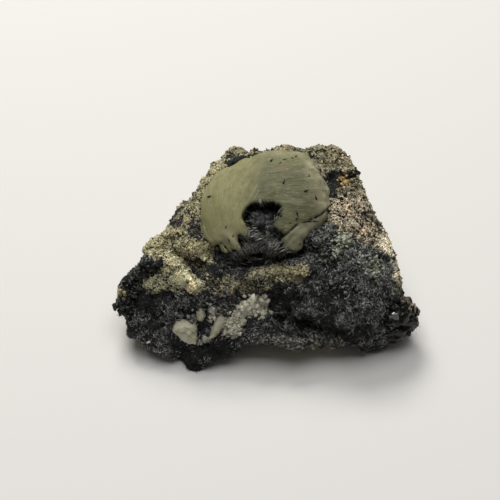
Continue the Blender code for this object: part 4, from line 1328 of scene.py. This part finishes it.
def scatter_grains(name, weight, count, seed, size, spread=(0.45, 1.7),
                   more_dark=0.0, colour=None):
    q, n, i, r = scatter(weight, count, seed)
    s = size[0] + (size[1] - size[0]) * r.uniform(0, 1, count) ** 3.0
    box = s[:, None] * r.uniform(0.45, 1.0, (count, 3))
    box[:, 0] *= r.uniform(1.0, 1.7, count)
    dark = r.uniform(size=count) < np.clip(R_DARK[i] + more_dark, 0, 1)
    lum = r.uniform(spread[0], spread[1], count)[:, None]
    col = (R_TONE[i] if colour is None else np.array(colour)) * lum
    cream = r.uniform(size=count) < 0.08
    col = np.where(cream[:, None], 0.55 * col + 0.45 * np.array((0.42, 0.37, 0.25)), col)
    black = np.array((0.018, 0.0185, 0.016)) * r.uniform(0.4, 2.4, (count, 1))
    brown = np.array((0.105, 0.096, 0.055)) * r.uniform(0.4, 1.6, (count, 1))
    is_brown = r.uniform(size=count) < 0.6 - 0.7 * R_DARK[i]
    black = np.where(is_brown[:, None], brown, black)
    col = np.where(dark[:, None], black, col)
    c = q + n * (s * r.uniform(-0.42, 0.04, count))[:, None]
    return grain_mesh(name, c, box, random_turns(r, count), col, GRAINS,
                      seed + 1)


LIGHT_W = ((1 - R_FELT) * (1 - R_CRUST) * (1 - R_BACK)
           * (0.3 + 0.7 * FACING) * OPEN)
LIGHT_W = np.where(R_FELT > 0.6, 0.0, LIGHT_W)
scatter_grains("grains_front", LIGHT_W * (R_A < 262), 10500, 65, (0.18, 0.56),
               (0.55, 1.5))
scatter_grains("grains_front_right", LIGHT_W * (R_A >= 262), 8500, 68,
               (0.18, 0.66), (0.55, 1.5))
scatter_grains("grains_felt", FELT_W * ROCK_PAINTED_SHEEN, 2600, 69,
               (0.22, 0.5), (0.3, 1.6), -0.1, (0.13, 0.13, 0.12))
scatter_grains("grains_sides", R_BACK * (ROCK_MID[:, 2] > 1.2), 4000, 67,
               (0.35, 1.5), (0.6, 1.5))
stamp("grains")


# ------------------------------------------------------- needles in the pocket
def pocket_needles():
    r = np.random.RandomState(71)
    n = 4300
    a = r.uniform(222, 294, n * 5)
    b = r.uniform(201, 266, n * 5)
    pocket = read_map(POCKET_RIM, a, b)
    spill = read_map(SPILL_RIM, a, b)
    on_ball = (a < 251) & (b > 234) & (r.uniform(size=len(a)) < 0.30)
    ok = ((pocket > 0.3) | (spill > r.uniform(-4, 3, len(a)))) & (
        (read_map(BALL_RIM, a, b) < 0.5) | (pocket > 0.3) | on_ball)
    a, b = a[ok][:n], b[ok][:n]
    n = len(a)
    low = smoothstep(214, 228, b)
    w = (surface_depth(a, b) + r.uniform(0.0, 0.9, n)
         + r.uniform(0.5, 2.6, n) * (1 - low))
    w = np.maximum(w, first_depth(BALL_TREE, a, b, -99.0 + 0 * a) + 0.1)
    base = at_depth(a, b, w)
    # bundles that cross one another; those of one bundle lie alike
    bundle = Cells(77, 3.2)(base + 0.6 * FINE[0](base)[:, None])[2]
    way = np.radians(-70.0 + 250.0 * ((bundle * 7.31) % 1.0)
                     + r.normal(size=n) * 16.0)
    d = (np.cos(way)[:, None] * RIGHT + np.sin(way)[:, None] * UP
         + r.normal(size=(n, 3)) * 0.10 + r.uniform(-0.25, 0.30, (n, 1)) * TOWARD)
    d /= np.linalg.norm(d, axis=1)[:, None]
    ln = r.uniform(1.2, 3.4, n)
    k = r.uniform(size=n)
    patch = np.clip(1.0 + 1.6 * FINE[0](base + 7.0) + 0.8 * MID(base), 0.1, 2.2)
    # painted sheen: this share of needles takes the light needle tone
    share = (0.14 + 0.18 * low) * (1 - 0.35 * smoothstep(250, 262, b)) * patch
    t = r.uniform(0.0, 0.08, n)
    t = np.where(k < share, r.uniform(0.16, 0.46, n), t)
    t = np.where(k < 0.28 * share, r.uniform(0.55, 0.95, n), t)
    base = base + TOWARD * (0.55 * (t > 0.09))[:, None]
    spindle_mesh("needles_pocket", base - d * (ln * 0.5)[:, None], d, ln,
                 r.uniform(0.07, 0.13, n) * (1 + 0.35 * (t > 0.09)), t,
                 POCKET_NEEDLE, 72,
                 nodes=("pocket_needles",))
    # blocky dark crystals at the top of the hollow
    m = 260
    a = r.normal(266, 10, m)
    b = r.normal(212, 6.0, m)
    ok = read_map(POCKET_RIM, a, b) > 1.0
    a, b = a[ok], b[ok]
    m = len(a)
    c = at_depth(a, b, surface_depth(a, b) + r.uniform(0.4, 3.6, m))
    col = np.array((0.15, 0.155, 0.16)) * r.uniform(0.28, 1.0, (m, 1)) ** 1.7
    grain_mesh("crystals_pocket", c, r.uniform(0.9, 2.6, (m, 1))
               * r.uniform(0.3, 1.0, (m, 3)), random_turns(r, m), col, GRAINS,
               73, nodes=("pocket_needles",))


pocket_needles()


# ------------------------------------------------------------ small crystals
def slab_field(loop, w0, thick, slope, seed, rough=0.20):
    """A broken rounded slab: an outline in survey units, domed."""
    rim = inside_polygon(MAP_A, MAP_B, loop)
    l1, l2 = Lumps(seed, 1.3), Lumps(seed + 1, 0.55)
    ca = sum(x for x, _ in loop) / len(loop)
    cb = sum(y for _, y in loop) / len(loop)

    def field(p):
        a, b, w = survey(p)
        side = (read_map(rim, a, b) * UNIT + 0.10 + 0.12 * l1(p)
                + 0.14 * l2(p))
        top = (w0 + thick * (1 - np.exp(-np.maximum(side, 0) / (0.6 * thick)))
               + slope[0] * (a - ca) + slope[1] * (b - cb) - w)
        f = smooth_min(side, top + rough * l1(p) + 0.5 * rough * l2(p), 0.5)
        return smooth_min(f, w - w0 + 2.2, 0.6)
    return field


def slab(name, loop, rise, thick, slope, mat, seed, node, centre,
         spin, voxel=0.14, cracks_and_painted_shade=()):
    ca = sum(x for x, _ in loop) / len(loop)
    cb = sum(y for _, y in loop) / len(loop)
    w0 = float(surface_depth(ca, cb)[0]) + rise
    lo = np.array([min(x for x, _ in loop), max(y for _, y in loop)])
    hi = np.array([max(x for x, _ in loop), min(y for _, y in loop)])
    corners = np.concatenate([at_depth([lo[0], hi[0], lo[0], hi[0]],
                                       [lo[1], lo[1], hi[1], hi[1]], w)
                              for w in (w0 - 2.6, w0 + thick + 1.2)])
    pts, quads = voxel_mesh(name, corners.min(0) - 0.5, corners.max(0) + 0.5,
                            voxel, slab_field(loop, w0, thick, slope, seed))
    ob = mesh_object(name, pts, quads, mat, nodes=(node,))
    a, b, w = survey(pts)
    x, y = a - centre[0], b - centre[1]
    fan = np.stack((np.hypot(x, y) + 40.0 * spin,
                    np.arctan2(y, x) * 38.0 + 200.0, 0 * a), -1)
    put(ob.data, "fibre", fan)
    put(ob.data, "fibre_right", fan)
    put(ob.data, "side", 0 * a)
    g = 0.5 + 0.5 * Lumps(seed + 2, 1.6)(pts)
    put(ob.data, "lobe", 0.25 + 0.3 * g)
    put(ob.data, "rose", 0 * a)
    put(ob.data, "pale_tone_and_painted_light", np.clip(0.70 + 0.5 * (g - 0.4), 0, 1))
    d = 0 * a
    for path, width in cracks_and_painted_shade:
        d = d + np.exp(-(path_distance(a, b, path) / width) ** 2)
    put(ob.data, "cracks_and_painted_shade", np.clip(0.45 * d, 0, 1))
    return ob


slab("bead_lower", [(173, 331), (173.5, 325), (177, 321), (183, 319),
                    (190, 319.5), (195, 323), (197, 328), (196, 334),
                    (197, 339), (195, 344), (190, 343.5), (184, 341),
                    (178, 337)], 0.45, 1.9, (0.02, 0.01), BEAD, 181,
     "prehnite_bead_lower", (168, 318), 1.0,
     cracks_and_painted_shade=[([(184, 327), (190, 330), (194, 334)], 0.7),
           ([(176, 332), (186, 334), (192, 338)], 0.5)])
slab("bead_upper", [(197, 320), (196, 313), (198, 307), (202, 306),
                    (205, 310), (205, 316), (202, 321)], 0.25, 1.3,
     (0.0, 0.0), BEAD, 185, "prehnite_bead_upper",
     (200, 300), 2.0)
slab("fan_blade", [(219.5, 310), (225, 312.5), (225, 319), (222.5, 328),
                   (215, 337), (210, 338.5), (210.5, 332), (214.5, 322),
                   (217.5, 314)], 0.35, 1.1, (0.0, 0.0), BEAD, 189,
     "prehnite_fan", (206, 343), 3.0,
     cracks_and_painted_shade=[([(219, 313), (215, 323), (212, 334)], 0.5)])
slab("knob_right", [(339, 236), (344, 234.5), (350, 236), (352, 241),
                    (348, 245), (342, 246), (338.5, 242)], -0.1, 0.8,
     (0.0, 0.0), BEAD, 193, "prehnite_knob_right",
     (330, 250), 4.0)


def cluster(name, spots, seed, mat, nodes=(), rise=(0.0, 0.8)):
    """Bunches of small crystals at spots: a, b, spread, count, size, colour."""
    r = np.random.RandomState(seed)
    cs, ss, co = [], [], []
    for a, b, spread, count, size, colour in spots:
        aa, bb = a + r.normal(size=count) * spread, b + r.normal(size=count) * spread
        w = surface_depth(aa, bb) + r.uniform(rise[0], rise[1], count)
        cs.append(at_depth(aa, bb, w))
        ss.append(size * r.uniform(0.6, 1.3, (count, 1))
                  * r.uniform(0.35, 0.95, (count, 3))
                  * np.array((1.45, 1.0, 0.9)))
        co.append(np.array(colour) * r.uniform(0.55, 1.25, (count, 1)))
    cs, ss, co = (np.concatenate(x) for x in (cs, ss, co))
    return grain_mesh(name, cs, ss, random_turns(r, len(cs)), co, mat,
                      seed + 1, nodes)


PALE_GREEN = (0.82, 0.80, 0.62)
TAN = (0.76, 0.73, 0.57)
WHITE = (0.72, 0.70, 0.62)
cluster("pale_middle", [(247, 309, 4.6, 110, 1.1, PALE_GREEN),
                        (241, 317, 3.6, 60, 0.9, TAN)], 201, WAXY,
        ("pale_crystal_middle",))
cluster("pale_right", [(261, 306, 3.8, 80, 1.15, (0.80, 0.77, 0.60)),
                       (265, 302, 2.4, 26, 1.0, WHITE)], 203, WAXY,
        ("pale_crystal_right",))
cluster("pale_specks", [
    (229, 322, 4.0, 80, 0.8, TAN), (235, 328, 4.0, 70, 0.8, TAN),
    (232, 332, 3.0, 40, 0.75, (0.44, 0.42, 0.34)),
    (194, 331, 1.6, 26, 0.6, (0.36, 0.35, 0.26)),
    (191, 322, 2.4, 24, 0.6, (0.30, 0.30, 0.24)),
    (200, 309, 2.4, 18, 0.6, (0.36, 0.35, 0.28)),
    (254, 311, 3.5, 50, 0.8, PALE_GREEN), (238, 312, 3.0, 44, 0.7, PALE_GREEN),
    (213, 310.5, 1.0, 7, 1.2, WHITE), (211, 317, 1.6, 12, 0.9, PALE_GREEN),
    (205, 339, 1.5, 14, 0.95, (0.46, 0.45, 0.37)),
    (200, 342, 1.4, 8, 0.8, (0.36, 0.35, 0.28)),
    (193, 317.5, 1.8, 12, 0.8, (0.24, 0.25, 0.23)),
    (180, 315, 2.4, 14, 0.7, (0.30, 0.30, 0.28)),
    (216, 308, 2.6, 10, 0.7, (0.28, 0.28, 0.25)),
    (249, 159, 0.9, 4, 1.0, WHITE), (281, 238.5, 1.4, 6, 1.1, (0.27, 0.28, 0.26)),
    (225, 257, 4.5, 50, 0.9, (0.11, 0.115, 0.11)),
    (314, 242, 6.0, 60, 0.7, (0.13, 0.138, 0.12)),
    (324, 252, 6.0, 50, 0.7, (0.12, 0.125, 0.105)),
    (322, 236, 4.0, 30, 0.7, (0.15, 0.158, 0.13)),
    (345, 240, 4.0, 60, 0.75, (0.38, 0.40, 0.31)),
    (337, 251, 3.4, 50, 0.75, (0.32, 0.335, 0.26)),
    (374, 266, 4.6, 60, 0.75, (0.38, 0.39, 0.31)),
    (366, 262, 7.0, 40, 0.6, (0.30, 0.305, 0.25)),
    (360, 285, 12.0, 50, 0.5, (0.24, 0.245, 0.21)),
    (330, 282, 9.0, 30, 0.5, (0.24, 0.245, 0.21)),
    # painted glint: two white crystals low on the left
    (148.5, 342, 0.5, 2, 0.9, WHITE),
    (184, 304, 6.0, 40, 0.6, (0.16, 0.16, 0.15)),
    (222, 300, 9.0, 60, 0.6, (0.16, 0.16, 0.15)),
    (345, 182, 2.8, 26, 0.8, (0.50, 0.36, 0.15)),
    (411, 307.5, 1.7, 22, 1.0, (0.46, 0.36, 0.24)),
    (407, 301, 1.5, 12, 1.0, (0.14, 0.105, 0.07)),
    (121, 293, 1.6, 8, 0.8, (0.33, 0.29, 0.16))], 205, WAXY)
# dark needles lie over the pale patch
_w = (np.exp(-((R_A - 243) / 18) ** 2 - ((R_B - 317) / 12) ** 2)) * OPEN
_q, _n, _i, _r = scatter(_w * (1 - R_BACK), 700, 207)
_d = (0.6 * RIGHT + 0.9 * UP)[None] + _r.normal(size=(700, 3)) * 0.5
_d -= (_d * _n).sum(1)[:, None] * _n
_d /= np.linalg.norm(_d, axis=1)[:, None]
spindle_mesh("needles_patch", _q + _n * 0.45 - _d * 0.6, _d,
             _r.uniform(0.9, 2.0, 700), _r.uniform(0.05, 0.10, 700),
             _r.uniform(0.0, 0.1, 700), DARK_NEEDLE, 208)


# ------------------------------------------------------- specks in the ball
def ball_specks():
    spots = [(210, 196.5, 1.0, 0.32, 5), (226, 227, 0.5, 0.22, 60),
             (271, 161, 0.9, 0.36, 60), (284, 159.5, 0.9, 0.22, 20),
             (280, 163, 0.6, 0.18, 40), (292, 158, 0.5, 0.22, 0),
             (295.5, 156.5, 0.6, 0.26, 30), (309, 176, 0.5, 0.28, 80),
             (283.5, 183, 1.25, 0.34, 76), (305.5, 191, 0.9, 0.34, 20),
             (316, 198, 0.9, 0.36, 100), (297, 213.5, 1.1, 0.28, 110),
             (281, 216, 0.5, 0.25, 45), (262, 203, 1.0, 0.34, 5),
             (297, 218.5, 0.7, 0.26, 60), (315, 217, 1.0, 0.28, 25),
             (322, 213, 1.2, 0.24, 38), (310, 219, 0.9, 0.30, 10),
             (314, 221.3, 1.6, 0.20, 2), (307, 221.5, 1.2, 0.18, 4),
             (325, 221.5, 1.0, 0.18, 0), (292, 229, 1.3, 0.24, 42),
             (287, 234, 1.2, 0.24, 45), (296, 224.5, 1.0, 0.22, 50),
             (300, 244, 0.6, 0.2, 60), (283, 243, 0.9, 0.26, 70),
             (290, 223, 0.5, 0.18, 0), (233, 236, 0.7, 0.18, 60),
             (229, 240, 0.9, 0.20, 110), (240, 246, 0.9, 0.2, 140)]
    a, b, ln, rad, turn = (np.array(x, float) for x in zip(*spots))
    w = first_depth(BALL_TREE, a, b, ball_dome(a, b)) - 0.02
    t = np.radians(turn)
    d = np.cos(t)[:, None] * RIGHT + np.sin(t)[:, None] * UP
    c = at_depth(a, b, w)
    ln = ln * 1.9
    spindle_mesh("ball_specks", c - d * (ln * 0.5)[:, None], d, ln,
                 rad * 0.92, 0.0 + 0 * a, POCKET_NEEDLE, 77, side=5,
                 waist=0.45)


ball_specks()


# ------------------------------------------------------------ black crystals
def blocks_object(name, blocks, nodes, mat=None):
    """Chipped blocky crystals, each a bevelled cuboid of its own tilt."""
    allp, allf = [], []
    off = 0
    for centre, size, turn in blocks:
        bm = bmesh.new()
        bmesh.ops.create_cube(bm, size=1.0)
        for v in bm.verts:
            v.co = Vector([v.co[i] * size[i] for i in range(3)])
        bmesh.ops.bevel(bm, geom=list(bm.edges), offset=min(size) * 0.07,
                        segments=1, affect='EDGES', profile=0.5,
                        clamp_overlap=True)
        bmesh.ops.triangulate(bm, faces=bm.faces)
        bm.verts.index_update()
        co = np.array([v.co[:] for v in bm.verts])
        allp.append(co @ np.asarray(turn).T + np.asarray(centre))
        allf.append(np.array([[v.index for v in f.verts]
                              for f in bm.faces]) + off)
        off += len(co)
        bm.free()
    return mesh_object(name, np.concatenate(allp), np.concatenate(allf),
                       mat or BLACK, smooth=False,
                       nodes=nodes)


def crystal_crust(spots, seed, size, count, spread=2.6):
    r = np.random.RandomState(seed)
    out = []
    for a, b, sink, s in spots:
        for k in range(count):
            aa, bb = a + r.normal() * spread, b + r.normal() * spread
            inside = read_map(RIM, np.array([aa]), np.array([bb]))[0]
            if inside < 1.5:
                aa, bb = a, b
            w = float(surface_depth(aa, bb)[0]) - sink + r.uniform(-0.4, 0.5)
            sz = r.uniform(size[0], size[1]) * s * r.uniform(0.5, 1.0, 3)
            out.append((at_depth(aa, bb, w), sz, random_turns(r, 1)[0]))
    return out


right = crystal_crust([
    (398, 311, 0.3, 1.1), (409, 308, 0.9, 1.0), (393, 322, 0.3, 1.0),
    (407, 321, 0.6, 1.2), (399, 331, 0.4, 1.0), (413, 321, 1.5, 0.9),
    (389, 334, 0.3, 0.9), (401, 318, 0.2, 1.2), (405, 312, 0.5, 1.0),
    (395, 316, 0.2, 1.0), (409, 326, 1.1, 0.9), (391, 328, 0.3, 0.9),
    (403, 303, 0.6, 0.9), (396, 337, 0.6, 0.8)], 101, (1.5, 3.2), 6, 2.4)
blocks_object("crystals_right", right, ("black_crystals_right",))


# flat faces turned to the light
KEY_PLACE = np.array((-0.16, 0.48, 0.64))


def lit_block(a, b, rise, size, off=0.0, seed=0):
    place = at_depth(a, b, float(surface_depth(a, b)[0]) + rise)
    to_light = KEY_PLACE / MM - SHIFT - place
    to_eye = ORIGIN + DISTANCE * TOWARD - place
    half = (to_light / np.linalg.norm(to_light) + to_eye / np.linalg.norm(to_eye))
    half = half / np.linalg.norm(half)
    half = half + off * np.random.RandomState(seed).normal(size=3)
    half /= np.linalg.norm(half)
    long_way = RIGHT - (RIGHT @ half) * half
    long_way /= np.linalg.norm(long_way)
    turn = np.stack((long_way, np.cross(half, long_way), half), 1)
    return (place - half * size[2] * 0.5, size, turn)


blocks_object("crystal_bright", [
    lit_block(393, 313, 3.1, (2.3, 1.2, 3.0)),
    lit_block(403, 309, 1.3, (0.5, 0.5, 1.6), 0.05, 1),
    lit_block(399, 322, 1.2, (0.6, 0.5, 1.6), 0.06, 2),
    lit_block(408, 317, 1.2, (0.5, 0.4, 1.6), 0.06, 3),
    lit_block(391, 326, 1.2, (0.4, 0.5, 1.6), 0.06, 4),
    lit_block(397, 334, 1.0, (0.5, 0.4, 1.6), 0.06, 5),
], ("black_crystals_right",), mat=GLASSY)
left = crystal_crust([
    (125, 303, 0.5, 0.9), (127, 293, 0.5, 0.9), (130, 284, 0.4, 1.0),
    (139, 278, 0.3, 1.0), (128, 298, 0.5, 1.1), (148, 271, 0.3, 0.9),
    (156, 267, 0.3, 0.8), (127, 310, 0.8, 0.9), (132, 290, 0.5, 1.1),
    (129, 318, 0.8, 0.8), (132, 326, 0.8, 0.8), (133, 304, 0.4, 1.0),
    (138, 284, 0.4, 0.8), (134, 334, 0.8, 0.7)], 103, (1.0, 2.3), 9, 3.0)
blocks_object("crystals_left", left, ("black_crystals_left",))
stamp("crystals")


# ------------------------------------------------------- floor, light, camera
def stage_floor():
    bm = bmesh.new()
    bmesh.ops.create_grid(bm, x_segments=2, y_segments=2, size=1.5)
    me = bpy.data.meshes.new("floor")
    bm.to_mesh(me)
    bm.free()
    ob = bpy.data.objects.new("floor", me)
    bpy.context.scene.collection.objects.link(ob)
    m = Nodes("floor_pale")
    m.set(m.bsdf, "Base Color", (0.86, 0.845, 0.81))
    m.set(m.bsdf, "Roughness", 0.9)
    m.bsdf.inputs["Specular IOR Level"].default_value = 0.1
    me.materials.append(m.mat)
    return ob


def area_light(name, place, target, size, power, colour):
    d = bpy.data.lights.new(name, 'AREA')
    d.shape = 'RECTANGLE'
    d.size, d.size_y = size
    d.energy = power
    d.color = colour
    ob = bpy.data.objects.new(name, d)
    bpy.context.scene.collection.objects.link(ob)
    ob.location = place
    ob.rotation_euler = (Vector(target) - Vector(place)).to_track_quat(
        '-Z', 'Y').to_euler()
    return ob


stage_floor()
area_light("key", KEY_PLACE, (0, 0, 0), (0.36, 0.28), 4.1,
           (1.0, 0.985, 0.955))
area_light("overhead", (0.0, 0.06, 0.95), (0, 0, 0), (0.80, 0.70), 4.45,
           (0.99, 0.99, 0.995))
world = bpy.data.worlds.new("studio")
bpy.context.scene.world = world
world.use_nodes = True
world.node_tree.nodes["Background"].inputs[0].default_value = (1.0, 0.99, 0.97, 1)
world.node_tree.nodes["Background"].inputs[1].default_value = 0.075

cam_data = bpy.data.cameras.new("camera")
cam = bpy.data.objects.new("camera", cam_data)
bpy.context.scene.collection.objects.link(cam)
eye = to_world(ORIGIN + DISTANCE * TOWARD)
aim = to_world(ORIGIN)
cam.location = eye
cam.rotation_euler = (Vector(aim) - Vector(eye)).to_track_quat('-Z', 'Y').to_euler()
cam_data.sensor_width = 36.0
cam_data.lens = 36.0 * DISTANCE / (500 * UNIT)
cam_data.clip_start = 0.01
bpy.context.scene.camera = cam
bpy.context.scene.view_settings.view_transform = 'Standard'

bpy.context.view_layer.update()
for o in bpy.data.objects:
    if o.type == 'MESH' and not o.hide_render:
        o.data.calc_loop_triangles()
        print(f"{o.name}: {len(o.data.loop_triangles)} triangles")
stamp("finished")
